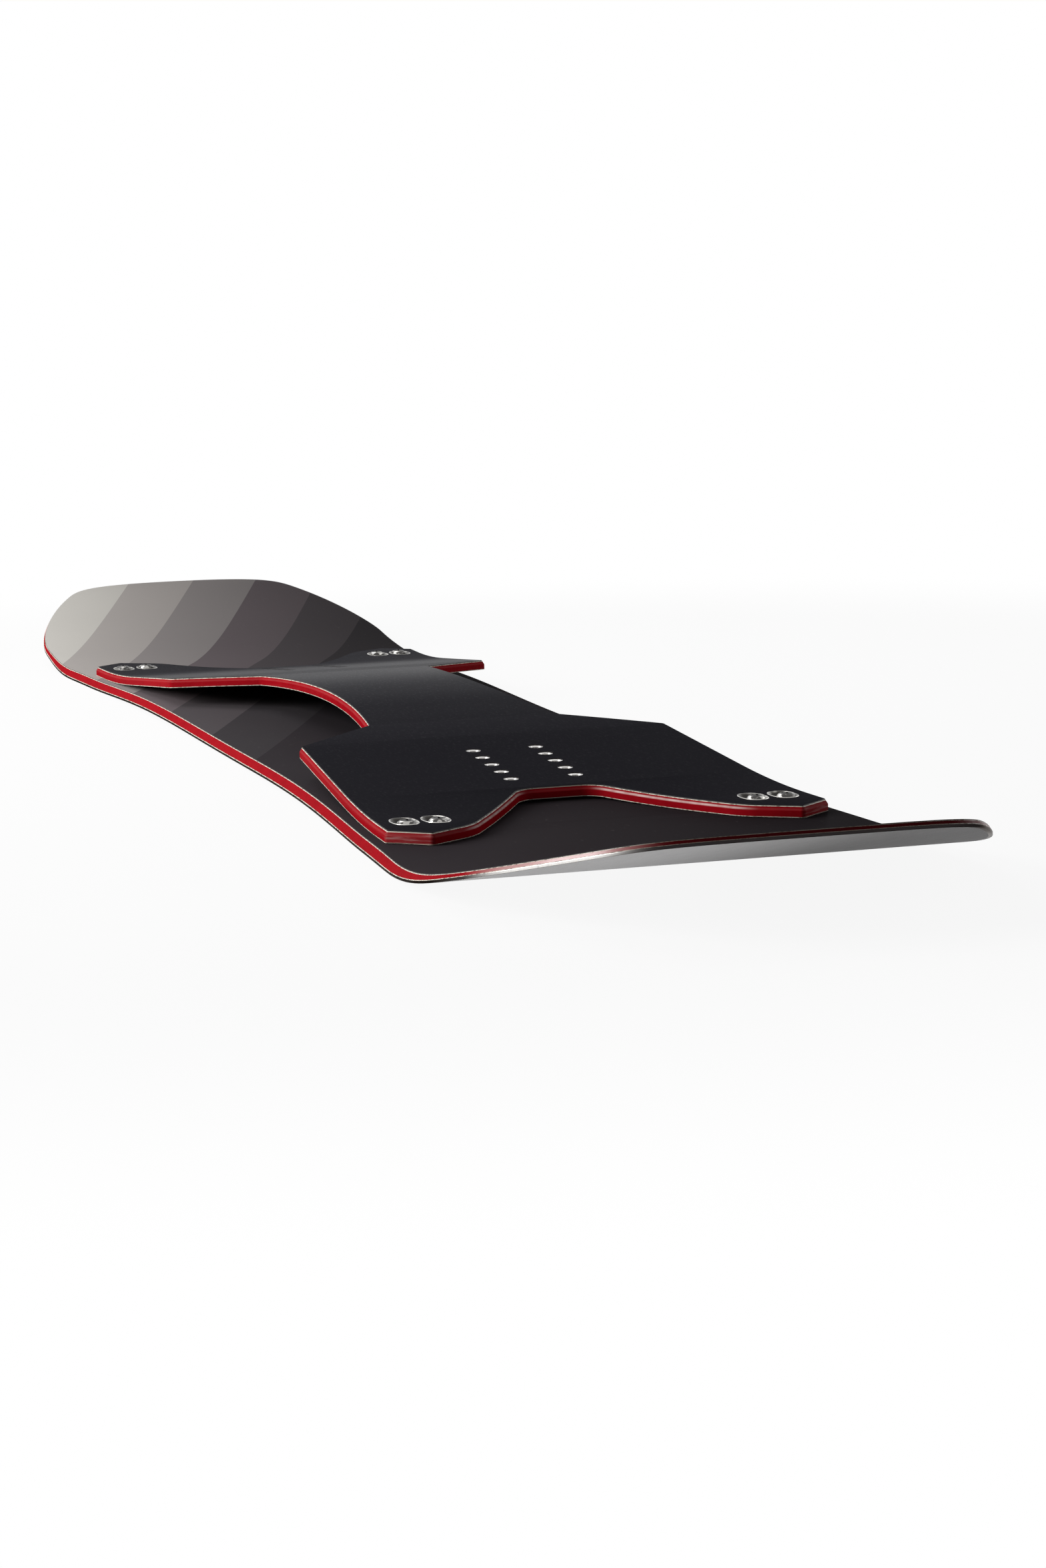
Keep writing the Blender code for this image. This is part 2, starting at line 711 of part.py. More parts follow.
def build_deck_layers(materials, parent):
    """Laminates, core, red edge and topsheet of the deck."""
    top_inset = DECK_BEVEL_WIDTH + BOND_GAP
    laminate_under = DECK_CORE_OVER + BOND_GAP
    core_inset = DECK_EDGE_WIDTH + BOND_GAP
    layers = [
        deck_plate("deck_lower_laminate", deck_loop(0.0, 0.0), deck_loop(0.0, DECK_LAMINATE),
                   materials["laminate"], parent),
        deck_plate("deck_core", deck_loop(core_inset, DECK_CORE_UNDER),
                   deck_loop(core_inset, DECK_CORE_OVER), materials["wood"], parent),
        deck_plate("deck_upper_laminate", deck_loop(top_inset, laminate_under),
                   deck_loop(top_inset + BOND_GAP, laminate_under + DECK_LAMINATE),
                   materials["laminate"], parent),
        deck_plate("deck_topsheet", deck_loop(top_inset + BOND_GAP, DECK_TOPSHEET_UNDER),
                   deck_loop(top_inset + 2 * BOND_GAP, DECK_THICKNESS), materials["deck_topsheet"], parent),
    ]
    edge_loops = (
        deck_loop(0.0, DECK_CORE_UNDER), deck_loop(0.0, DECK_BEVEL_START),
        deck_loop(DECK_BEVEL_WIDTH, DECK_CORE_OVER), deck_loop(DECK_EDGE_WIDTH, DECK_CORE_OVER),
        deck_loop(DECK_EDGE_WIDTH, DECK_CORE_UNDER),
    )
    for end, sign in (("nose", -1), ("tail", 1)):
        deck_half_ring(f"deck_sidewall_{end}", edge_loops, sign, materials["sidewall"], parent)
    return layers


def build_binding_inserts(layers, material, parent):
    """Two groups of threaded inserts in the deck."""
    places = insert_places()
    pockets = insert_pocket(DECK_CORE_UNDER, DECK_THICKNESS)
    cutter = merge_copies(pockets, [place for _, place in places])
    cutter = hide_tool(add_object("cutter_insert_pockets", cutter, material, parent))
    for layer in layers:
        combine(layer, cutter)
    for name, place in places:
        bm = threaded_insert(DECK_CORE_UNDER, DECK_THICKNESS - INSERT_SINK, THREAD_CORE_RADIUS, place)
        add_object(name, bm, material, parent)


def cup_washer():
    """Oval cup: raised rim, sloping wall and a slot for the screw in its floor."""
    floor = -CUP_DEPTH
    return skin((
        oval(SLOT_HALVES, 0.0, SLOT_FULLNESS, floor),
        oval(SLOT_HALVES, 0.0, SLOT_FULLNESS, floor + CUP_LIP),
        oval(CUP_HALVES, -CUP_RIM_WIDTH, CUP_FULLNESS, 0.0),
        oval(CUP_HALVES, -CUP_RIM_WIDTH / 2, CUP_FULLNESS, CUP_RIM_RISE),
        oval(CUP_HALVES, 0.0, CUP_FULLNESS, 0.0),
        oval(CUP_HALVES, 0.0, CUP_FULLNESS, -CUP_LIP),
        oval(SLOT_HALVES, CUP_WALL, SLOT_FULLNESS, floor),
    ), ring=True)


def countersink():
    """Cutter for a cup's seat and the slot through the deck."""
    floor = -CUP_DEPTH - FIT_GAP
    return skin((
        oval(SLOT_HALVES, 0.0, SLOT_FULLNESS, -DECK_THICKNESS - FIT_GAP),
        oval(SLOT_HALVES, 0.0, SLOT_FULLNESS, floor),
        oval(SLOT_HALVES, CUP_WALL + FIT_GAP, SLOT_FULLNESS, floor),
        oval(CUP_HALVES, FIT_GAP, CUP_FULLNESS, -CUP_LIP),
        oval(CUP_HALVES, FIT_GAP, CUP_FULLNESS, FIT_GAP),
    ))


def screw_profile(length):
    """Raised countersunk screw from its tip to the top of its dome."""
    neck = -CUP_DEPTH + CUP_LIP + FIT_GAP
    rim = -SCREW_HEAD_SINK
    dome = [(SCREW_HEAD_RADIUS * reach, rim + (SCREW_DOME - rim) * rise) for reach, rise in SCREW_DOME_RINGS]
    return (
        (0.0, -length), (SCREW_RADIUS, -length), (SCREW_RADIUS, neck), (SCREW_HEAD_RADIUS, rim),
        *dome, (0.0, SCREW_DOME),
    )


def cross_recess():
    """Cutter for a cross recess: a plus-shaped prism with tapered arms."""
    long_reach = RECESS_LENGTH / 2
    half = RECESS_WIDTH / 2
    ends = (
        (long_reach * RECESS_TAPER, SCREW_DOME - RECESS_DEPTH),
        (long_reach, SCREW_DOME + FIT_GAP),
    )
    outlines = []
    for reach, z in ends:
        outline = []
        for turn in range(4):
            spin = Matrix.Rotation(turn * math.pi / 2, 2)
            for corner in ((reach, -half), (reach, half), (half, half)):
                outline.append((*(spin @ Vector(corner)), z))
        outlines.append(outline)
    return skin(outlines)


def build_screws(layers, materials, parent):
    """Cup washers and screws that hold the deck's four wings."""
    top = DECK_UNDER + DECK_THICKNESS
    length = top - (CORE_UNDER + INSERT_FLANGE + SCREW_END_GAP)
    cups = wing_places(CUP_X, top)
    places = wing_places(SCREW_X, top)
    cutter = merge_copies(countersink(), [place for _, place in cups])
    cutter = hide_tool(add_object("cutter_countersinks", cutter, materials["steel"], parent))
    for layer in layers:
        combine(layer, cutter)
    recess = merge_copies(cross_recess(), [place for _, place in places])
    recess = hide_tool(add_object("cutter_recesses", recess, materials["steel"], parent))
    for name, place in cups:
        cup = cup_washer()
        bmesh.ops.transform(cup, matrix=place, verts=cup.verts)
        add_object(f"cup_washer_{name}", cup, materials["steel"], parent)
    for name, place in places:
        screw = lathe(screw_profile(length), SCREW_STEPS)
        bmesh.ops.transform(screw, matrix=place, verts=screw.verts)
        combine(add_object(f"deck_screw_{name}", screw, materials["steel"], parent), recess)


def build():
    """Make the whole snowboard."""
    clear_scene()
    materials = {
        "base": make_material("base", (0.30, 0.30, 0.31), 0.35),
        "edge": make_material("edge", (0.55, 0.54, 0.52), 0.3, 1.0),
        "laminate": make_material("laminate", (0.75, 0.68, 0.56), 0.6),
        "wood": make_material("wood", (0.62, 0.45, 0.26), 0.7),
        "sidewall": make_material("sidewall", (0.42, 0.01, 0.015), 0.35),
        "topsheet": make_material("topsheet", (0.09, 0.085, 0.085), 0.45),
        "deck_topsheet": make_material("deck_topsheet", (0.015, 0.016, 0.02), 0.45),
        "steel": make_material("steel", (0.7, 0.68, 0.64), 0.2, 1.0),
    }
    parent = bpy.data.objects.new("board_origin", None)
    bpy.context.collection.objects.link(parent)
    parent.location = (OBJECT_SHIFT, 0.0, 0.0)

    build_base(materials["base"], parent)
    build_edges(materials["edge"], parent)
    core = build_core(materials, parent)
    upper, topsheet = build_skins(materials, parent)
    build_pad_inserts((core, upper, topsheet), materials["steel"], parent)

    lower_skin, deck_core, upper_skin, deck_top = build_deck_layers(materials, parent)
    build_binding_inserts((deck_core, upper_skin, deck_top), materials["steel"], parent)
    build_screws((lower_skin, deck_core, upper_skin, deck_top), materials, parent)


build()
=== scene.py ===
"""Looks of the snowboard with the arched upper deck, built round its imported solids.

Lengths are in metres. Pieces are drawn with the deck's centre at X = 0 and are
moved to the object's own frame when they are finished. In a finish, roughness
is a middle and a spread, a relief is a depth and a strength, and levels are the
two values between which a share rises.
"""

import logging
import math
from collections.abc import Callable, Iterable, Mapping, Sequence
from dataclasses import dataclass, field
from enum import Enum
from itertools import accumulate, product

import bmesh
import bpy
from mathutils import Matrix, Vector
from mathutils.geometry import interpolate_bezier


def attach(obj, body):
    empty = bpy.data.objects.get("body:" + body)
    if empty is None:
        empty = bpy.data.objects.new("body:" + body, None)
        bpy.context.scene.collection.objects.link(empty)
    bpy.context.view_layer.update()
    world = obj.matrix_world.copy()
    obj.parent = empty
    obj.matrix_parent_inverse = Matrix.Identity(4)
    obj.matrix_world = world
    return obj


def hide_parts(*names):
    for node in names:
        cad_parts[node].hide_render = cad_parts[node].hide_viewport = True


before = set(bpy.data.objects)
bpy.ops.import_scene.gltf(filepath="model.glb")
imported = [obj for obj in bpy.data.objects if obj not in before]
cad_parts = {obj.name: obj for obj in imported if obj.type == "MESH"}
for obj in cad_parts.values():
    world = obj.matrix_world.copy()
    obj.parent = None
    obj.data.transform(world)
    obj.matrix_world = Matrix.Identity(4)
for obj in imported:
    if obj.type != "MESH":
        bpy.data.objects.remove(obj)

log = logging.getLogger("snowboard")

Mesh = bmesh.types.BMesh
Object = bpy.types.Object
Material = bpy.types.Material
Socket = bpy.types.NodeSocket
Pair = tuple[float, float]
Triple = tuple[float, float, float]
Colour = Triple
Level = Callable[[float], float]

MM = 0.001
SHIFT = 8 * MM
BODY = "root"
RIM_MAP = "rim"
TURNED_MAP = "turned"
MERGE = 1e-6
CREASE = math.radians(28)
UPRIGHT = 0.6
ROUND_STEPS = 48
SCREW_X = 434 * MM
SCREW_Y = (94.4 * MM, 112.7 * MM)
WHITE: Colour = (1.0, 1.0, 1.0)


class Slot(Enum):
    """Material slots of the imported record."""

    BASE = "base"
    STEEL_EDGE = "steel_edge"
    LAMINATE = "laminate"
    RED_SIDEWALL = "red_sidewall"
    TOPSHEET = "topsheet"
    DECK_TOPSHEET = "deck_topsheet"
    INSERT = "insert"
    FASTENER = "fastener"


class Side(Enum):
    """A sign on one axis, with the word that names of pieces have for it."""

    @property
    def word(self) -> str:
        """The word in a name."""
        return self.name.lower()


class End(Side):
    """The two ends of the board, as the sign of X."""

    NOSE = -1
    TAIL = 1


class Hand(Side):
    """The two long sides of the board, as the sign of Y."""

    LEFT = -1
    RIGHT = 1


# Shader maths

class Value:
    """A number socket of a node tree that takes part in Python expressions."""

    def __init__(self, shader: "Shader", socket: Socket) -> None:
        """Keep the tree and the socket."""
        self.shader = shader
        self.socket = socket

    def _join(self, operation: str, first: object, second: object = 0.0) -> "Value":
        """Result of one Math node."""
        made = self.shader.node("ShaderNodeMath", {0: first, 1: second}, operation=operation)
        return Value(self.shader, made.outputs[0])

    def __add__(self, other: object) -> "Value":
        """Sum."""
        return self._join("ADD", self, other)

    def __sub__(self, other: object) -> "Value":
        """Difference."""
        return self._join("SUBTRACT", self, other)

    def __rsub__(self, other: object) -> "Value":
        """Difference from a number on the left."""
        return self._join("SUBTRACT", other, self)

    def __mul__(self, other: object) -> "Value":
        """Product."""
        return self._join("MULTIPLY", self, other)

    def __truediv__(self, other: object) -> "Value":
        """Quotient."""
        return self._join("DIVIDE", self, other)

    __radd__ = __add__
    __rmul__ = __mul__

    def largest(self, other: object) -> "Value":
        """The larger of two values."""
        return self._join("MAXIMUM", self, other)

    def size(self) -> "Value":
        """The value without its sign."""
        return self._join("ABSOLUTE", self)

    def floor(self) -> "Value":
        """The whole number at or under the value."""
        return self._join("FLOOR", self)

    def vary(self, middle: float, spread: float) -> "Value":
        """A number that this value, which lies round 0.5, moves about its middle."""
        return self * spread + (middle - spread / 2)

    def mixed(self, other: "Value", share: float) -> "Value":
        """Mean of this value and another one that has a share in it."""
        return self * (1 - share) + other * share

    def ramp(self, start: float, end: float, low: float = 0.0, high: float = 1.0) -> "Value":
        """Ease from one number to another over a range of this value.

        Args:
            start: Value at which the result is low.
            end: Value at which the result is high.
            low: Result before the range.
            high: Result past the range.

        Returns:
            The eased result.
        """
        made = self.shader.node(
            "ShaderNodeMapRange",
            {"Value": self, "From Min": start, "From Max": end, "To Min": low, "To Max": high},
            interpolation_type="SMOOTHSTEP")
        return Value(self.shader, made.outputs["Result"])


@dataclass(frozen=True)
class Grain:
    """A noise, with its features in one metre, its octaves and how its axes are multiplied.

    Fineness is the share of the fine octaves, and warp how far the noise is bent. With
    levels, it eases from 0 to its share between them. As cells, it is the distance from
    the nearest of many scattered grains.
    """

    scale: float
    octaves: float = 2.0
    fineness: float = 0.5
    stretch: tuple[float, ...] = (1, 1, 1)
    levels: Pair | None = None
    share: float = 1.0
    warp: float = 0.0
    cells: bool = False


class Shader:
    """Node tree of a new material, or of a new world."""

    def __init__(self, name: str, world: bool = False) -> None:
        """Start the tree with its output alone.

        Args:
            name: Name of the material or world.
            world: Whether it is a world's tree.
        """
        self.owner = (bpy.data.worlds if world else bpy.data.materials).new(name)
        self.owner.use_nodes = True
        self.tree = self.owner.node_tree
        self.tree.nodes.clear()
        self.output = self.node("ShaderNodeOutputWorld" if world else "ShaderNodeOutputMaterial")

    def feed(self, socket: Socket, given: object) -> None:
        """Link or set one socket.

        Args:
            socket: The socket to fill.
            given: A Value, a socket, a number or a tuple.
        """
        if isinstance(given, Value):
            given = given.socket
        if isinstance(given, Socket):
            self.tree.links.new(given, socket)
        elif isinstance(given, tuple) and socket.type == "RGBA":
            socket.default_value = (*given, 1.0)
        else:
            socket.default_value = given

    def node(self, kind: str, sockets: Mapping[object, object] | None = None,
             **settings: object) -> bpy.types.Node:
        """Add a node.

        Args:
            kind: The node's type.
            sockets: Values or links for its sockets, by name or number.
            **settings: Its settings, which are set first; stops fills a ramp.

        Returns:
            The new node.
        """
        made = self.tree.nodes.new(kind)
        for name, choice in settings.items():
            if name == "stops":
                self._fill_ramp(made.color_ramp, choice)
            else:
                setattr(made, name, choice)
        for name, given in (sockets or {}).items():
            self.feed(made.inputs[name], given)
        return made

    @staticmethod
    def _fill_ramp(ramp: bpy.types.ColorRamp, stops: Sequence[tuple[float, Colour]]) -> None:
        """Give a ramp stops with plain steps between them.

        Args:
            ramp: The ramp.
            stops: Position and colour of each stop.
        """
        ramp.interpolation = "CONSTANT"
        while len(ramp.elements) < len(stops):
            ramp.elements.new(1.0)
        for element, (place, colour) in zip(ramp.elements, stops):
            element.position = place
            element.color = (*colour, 1.0)

    def split(self, vector: Socket) -> tuple[Value, Value, Value]:
        """The three numbers of a vector."""
        parts = self.node("ShaderNodeSeparateXYZ", {0: vector}).outputs
        return Value(self, parts[0]), Value(self, parts[1]), Value(self, parts[2])

    def at(self, x: object, y: object, z: object = 0.0) -> Socket:
        """A vector of three values."""
        return self.node("ShaderNodeCombineXYZ", {0: x, 1: y, 2: z}).outputs[0]

    def length(self, vector: Socket) -> Value:
        """Length of a vector."""
        made = self.node("ShaderNodeVectorMath", {0: vector}, operation="LENGTH")
        return Value(self, made.outputs["Value"])

    def object_point(self) -> Socket:
        """Place on the piece, in the object's own frame."""
        return self.node("ShaderNodeTexCoord").outputs["Object"]

    def place(self) -> tuple[Value, Value, Value]:
        """X, Y and Z of the piece in the drawing's frame, with the deck's centre at X = 0."""
        x, y, z = self.split(self.object_point())
        return x - SHIFT, y, z

    def mapped(self, name: str) -> tuple[Value, Value]:
        """U and V of a piece's own map, in metres."""
        return self.split(self.node("ShaderNodeUVMap", uv_map=name).outputs["UV"])[:2]

    def seen(self) -> Value:
        """Where the camera sees the surface, directly, mirrored or through glass.

        Returns:
            1 there, and 0 for the light that it casts on other surfaces.
        """
        rays = self.node("ShaderNodeLightPath").outputs
        straight, mirrored, through = (Value(self, rays[f"Is {kind} Ray"])
                                       for kind in ("Camera", "Glossy", "Transmission"))
        return straight.largest(mirrored).largest(through)

    def grain(self, noise: Grain, *place: Value) -> Value:
        """Read a noise.

        Args:
            noise: The noise.
            *place: Two or three values that give the place.

        Returns:
            A value round 0.5, or up to the noise's share where it has levels.
        """
        point = self.at(*(value if factor == 1 else value * factor
                          for value, factor in zip(place, noise.stretch)))
        if noise.cells:
            made = self.node("ShaderNodeTexVoronoi", {"Vector": point, "Scale": noise.scale}, feature="F1")
            return Value(self, made.outputs["Distance"])
        made = self.node("ShaderNodeTexNoise", {
            "Vector": point, "Scale": noise.scale, "Detail": noise.octaves,
            "Roughness": noise.fineness, "Distortion": noise.warp}, noise_dimensions="3D")
        read = Value(self, made.outputs["Fac"])
        return read.ramp(*noise.levels, 0.0, noise.share) if noise.levels else read

    def grains(self, place: Sequence[Value], *noises: Grain) -> list[Value]:
        """Several noises, read at one place."""
        return [self.grain(noise, *place) for noise in noises]

    def blend(self, factor: object, first: object, second: object, how: str = "MIX") -> Socket:
        """Mix two colours.

        Args:
            factor: Share of the second colour.
            first: Colour tuple or socket.
            second: Colour tuple or socket.
            how: The node's way of mixing.

        Returns:
            The mixed colour.
        """
        made = self.node("ShaderNodeMix", {0: factor, 6: first, 7: second},
                         data_type="RGBA", blend_type=how, clamp_factor=True)
        return made.outputs[2]

    def shaded(self, colour: object, amount: Value) -> Socket:
        """A colour made lighter or darker by a value round 1."""
        grey = self.node("ShaderNodeCombineColor", {0: amount, 1: amount, 2: amount})
        return self.blend(1.0, colour, grey.outputs[0], "MULTIPLY")

    def steps(self, value: Value, tones: Sequence[Colour]) -> Socket:
        """Colour that changes in equal steps while a value goes from 0 to 1.

        Args:
            value: The value.
            tones: The colours.

        Returns:
            The colour.
        """
        stops = [(index / len(tones), tone) for index, tone in enumerate(tones)]
        return self.node("ShaderNodeValToRGB", {0: value}, stops=stops).outputs[0]

    def bump(self, height: Value, distance: float, strength: float) -> Socket:
        """Normal of a surface whose height goes from 0 to a distance."""
        sockets = {"Height": height, "Distance": distance, "Strength": strength}
        return self.node("ShaderNodeBump", sockets).outputs["Normal"]

    def close(self, surface: Socket) -> bpy.types.ID:
        """End the tree with a surface, and give its material or world."""
        self.tree.links.new(surface, self.output.inputs["Surface"])
        return self.owner

    def surface(self, sockets: Mapping[str, object]) -> Material:
        """End the tree with one Principled shader, and give its material."""
        return self.close(self.node("ShaderNodeBsdfPrincipled", sockets).outputs[0])


@dataclass(frozen=True)
class PaintedRimLight:
    """Where a highlight is painted on the rim of the lower board, and where painted shade darkens it."""

    # Painted highlight: bright rim corners, weaker on the right side.
    corner: Pair = (712 * MM, 118 * MM)
    reach: Pair = (70 * MM, 25 * MM)
    across: Pair = (60 * MM, -60 * MM)
    right_share: float = 0.4
    # Painted shade: the tips' outer rims darken from here outwards.
    painted_shade_span: Pair = (690 * MM, 728 * MM)

    def painted_highlight(self, shader: Shader) -> Value:
        """Share of painted highlight at the four corners of the board, stronger on the left ones.

        Args:
            shader: The tree of the finish.

        Returns:
            The share.
        """
        x, y, _ = shader.place()
        away = shader.length(shader.at(x.size() - self.corner[0], y.size() - self.corner[1]))
        return away.ramp(*self.reach) * y.ramp(*self.across, self.right_share, 1.0)

    def painted_shade(self, shader: Shader) -> Value:
        """Share of painted shade on the outer rims of both tips, between their painted highlights."""
        return shader.place()[0].size().ramp(*self.painted_shade_span) * (1.0 - self.painted_highlight(shader))


PAINTED_RIM_LIGHT = PaintedRimLight()


# Finishes

@dataclass(frozen=True)
class StripedSheet:
    """Satin topsheet with straight diagonal stripes that darken towards the tail, and painted light that
    makes its left side lighter than its right.
    """

    stripe_width: float = 138 * MM
    first_stripe: float = -882 * MM
    across: float = 2.36
    tones: tuple[Colour, ...] = (
        (0.415, 0.400, 0.373), (0.300, 0.279, 0.266), (0.205, 0.189, 0.186), (0.112, 0.095, 0.101),
        (0.070, 0.062, 0.066), (0.042, 0.038, 0.041), (0.031, 0.027, 0.030), (0.030, 0.025, 0.028),
    )
    scuffed: Colour = (0.55, 0.53, 0.50)
    # Painted shade across the width, per metre of Y.
    shade_across: float = 2.4
    roughness: Pair = (0.5, 0.10)
    coat: Pair = (0.020, 0.004)
    coat_roughness: float = 0.30
    fine: Grain = Grain(1900, 3, 0.6)
    cloud: Grain = Grain(9, 3)
    scuffs: Grain = Grain(260, 5, 0.7, (0.35, 1, 1), levels=(0.60, 0.80))
    relief: Pair = (0.02 * MM, 0.35)
    cloudy: float = 0.07
    speckled: float = 0.06
    scuff_share: float = 0.05
    scuff_matt: float = 0.10

    def material(self) -> Material:
        """The finish as a material.

        Returns:
            The material.
        """
        shader = Shader("striped_topsheet")
        x, y, z = shader.place()
        fine, cloud, scuffs = shader.grains((x, y, z), self.fine, self.cloud, self.scuffs)
        start = self.first_stripe - self.stripe_width
        stripe = (x + y * self.across - start) / (self.stripe_width * len(self.tones))
        # Painted light: lighter on the left side and darker on the right, times a random mottle.
        light = (1.0 - y * self.shade_across) * cloud.vary(1.0, self.cloudy) * fine.vary(1.0, self.speckled)
        colour = shader.shaded(shader.steps(stripe, self.tones), light)
        return shader.surface({
            "Base Color": shader.blend(scuffs * self.scuff_share, colour, self.scuffed),
            "Roughness": cloud.vary(*self.roughness) + scuffs * self.scuff_matt,
            "Specular IOR Level": 0.0,
            "Coat Weight": cloud.vary(*self.coat),
            "Coat Roughness": self.coat_roughness,
            "Normal": shader.bump(fine, *self.relief),
        })


@dataclass(frozen=True)
class DeckSheet:
    """Near-black deck sheet with short leathery streaks, glossiest over the top of its arch."""

    tone: Colour = (0.0058, 0.0053, 0.0085)
    worn: Colour = (0.013, 0.0125, 0.016)
    roughness: Pair = (0.50, 0.14)
    coat: float = 0.070
    coat_roughness: float = 0.46
    gloss_steps: tuple[Triple, ...] = (
        (240 * MM, 100 * MM, 0.04), (100 * MM, 0.0, 0.10), (20 * MM, -130 * MM, 0.36),
        (-250 * MM, -380 * MM, -0.40),
    )
    leather: Grain = Grain(620, 4, 0.62, (0.45, 1, 1), warp=0.6)
    pores: Grain = Grain(900, stretch=(0.6, 1, 1), cells=True)
    cloud: Grain = Grain(14, 3)
    streak_levels: Pair = (0.50, 0.72)
    relief: Pair = (0.05 * MM, 0.35)
    cloudy: Pair = (0.5, 0.5)
    streak_gloss: float = 0.3
    streak_polish: float = 0.08
    pore_share: float = 0.3

    def gloss(self, x: Value) -> Value:
        """How much shine the sheet has at one place along the board."""
        return sum((x.ramp(start, end) * change for start, end, change in self.gloss_steps), self.coat)

    def material(self) -> Material:
        """The finish as a material.

        Returns:
            The material.
        """
        shader = Shader("deck_sheet")
        x, y, z = shader.place()
        leather, pores, cloud = shader.grains((x, y, z), self.leather, self.pores, self.cloud)
        streaks = leather.ramp(*self.streak_levels)
        return shader.surface({
            "Base Color": shader.blend(streaks * cloud.vary(*self.cloudy), self.tone, self.worn),
            "Roughness": cloud.vary(*self.roughness) - streaks * self.streak_polish,
            "Specular IOR Level": 0.0,
            "Coat Weight": self.gloss(x) * streaks.vary(1.0, self.streak_gloss),
            "Coat Roughness": self.coat_roughness,
            "Normal": shader.bump(leather.mixed(pores, self.pore_share), *self.relief),
        })


@dataclass(frozen=True)
class SheetCut:
    """Cut side of a printed topsheet."""

    tone: Colour = (0.013, 0.010, 0.010)
    fleck: Colour = (0.20, 0.17, 0.15)
    chips: Grain = Grain(420, 4, 0.65, (1, 1, 2))
    fleck_levels: Pair = (0.62, 0.72)
    fleck_share: float = 0.5
    roughness: Pair = (0.55, 0.3)
    relief: Pair = (0.05 * MM, 0.5)

    def material(self) -> Material:
        """The finish as a material.

        Returns:
            The material.
        """
        shader = Shader("topsheet_cut")
        chips = shader.grain(self.chips, *shader.place())
        flecks = chips.ramp(*self.fleck_levels) * self.fleck_share
        return shader.surface({
            "Base Color": shader.blend(flecks, self.tone, self.fleck),
            "Roughness": chips.vary(*self.roughness),
            "Specular IOR Level": 0.2,
            "Normal": shader.bump(chips, *self.relief),
        })


@dataclass(frozen=True)
class WingWear:
    """Painted highlight as a pale line along the deck wall's bevel, and scratches at the corners of its
    wings.
    """

    # The painted highlight line: its height, spread, shares and where it is strongest.
    height: float = 4.6 * MM
    spread: Pair = (0.90 * MM, 0.10 * MM)
    everywhere: float = 0.04
    on_flanks: float = 0.55
    in_patches: float = 0.35
    flank_start: Pair = (335 * MM, 350 * MM)
    flank_inner: Pair = (18 * MM, 30 * MM)
    flank_outer: Pair = (88 * MM, 74 * MM)
    # The scratches at the wing corners.
    corner_side: Pair = (107 * MM, 110 * MM)
    corner_start: Pair = (452 * MM, 456 * MM)
    corner_share: float = 0.03
    patches: Grain = Grain(60, 4, 0.6, levels=(0.35, 0.60))
    scratches: Grain = Grain(520, 4, 0.7, (0.5, 1), levels=(0.46, 0.70), share=0.32)

    def shares(self, shader: Shader, along: Value, up: Value) -> tuple[Value, Value]:
        """Share of painted highlight on the bevel, and of scratches at the corners.

        Args:
            shader: The tree of the wall's material.
            along: Way along the wall.
            up: Height on the wall.

        Returns:
            The two shares.
        """
        reach, side, _ = (value.size() for value in shader.place())
        # Painted highlight: a pale line at this height, strongest on the wings' flanks.
        line = (up - self.height).size().ramp(*self.spread)
        flank = reach.ramp(*self.flank_start) * side.ramp(*self.flank_inner) * side.ramp(*self.flank_outer)
        patches = shader.grain(self.patches, along, up) * self.in_patches
        corner = side.ramp(*self.corner_side) * reach.ramp(*self.corner_start)
        scratches = shader.grain(self.scratches, along, up)
        return (line * (flank * (patches + self.on_flanks) + self.everywhere),
                corner * (scratches + self.corner_share))


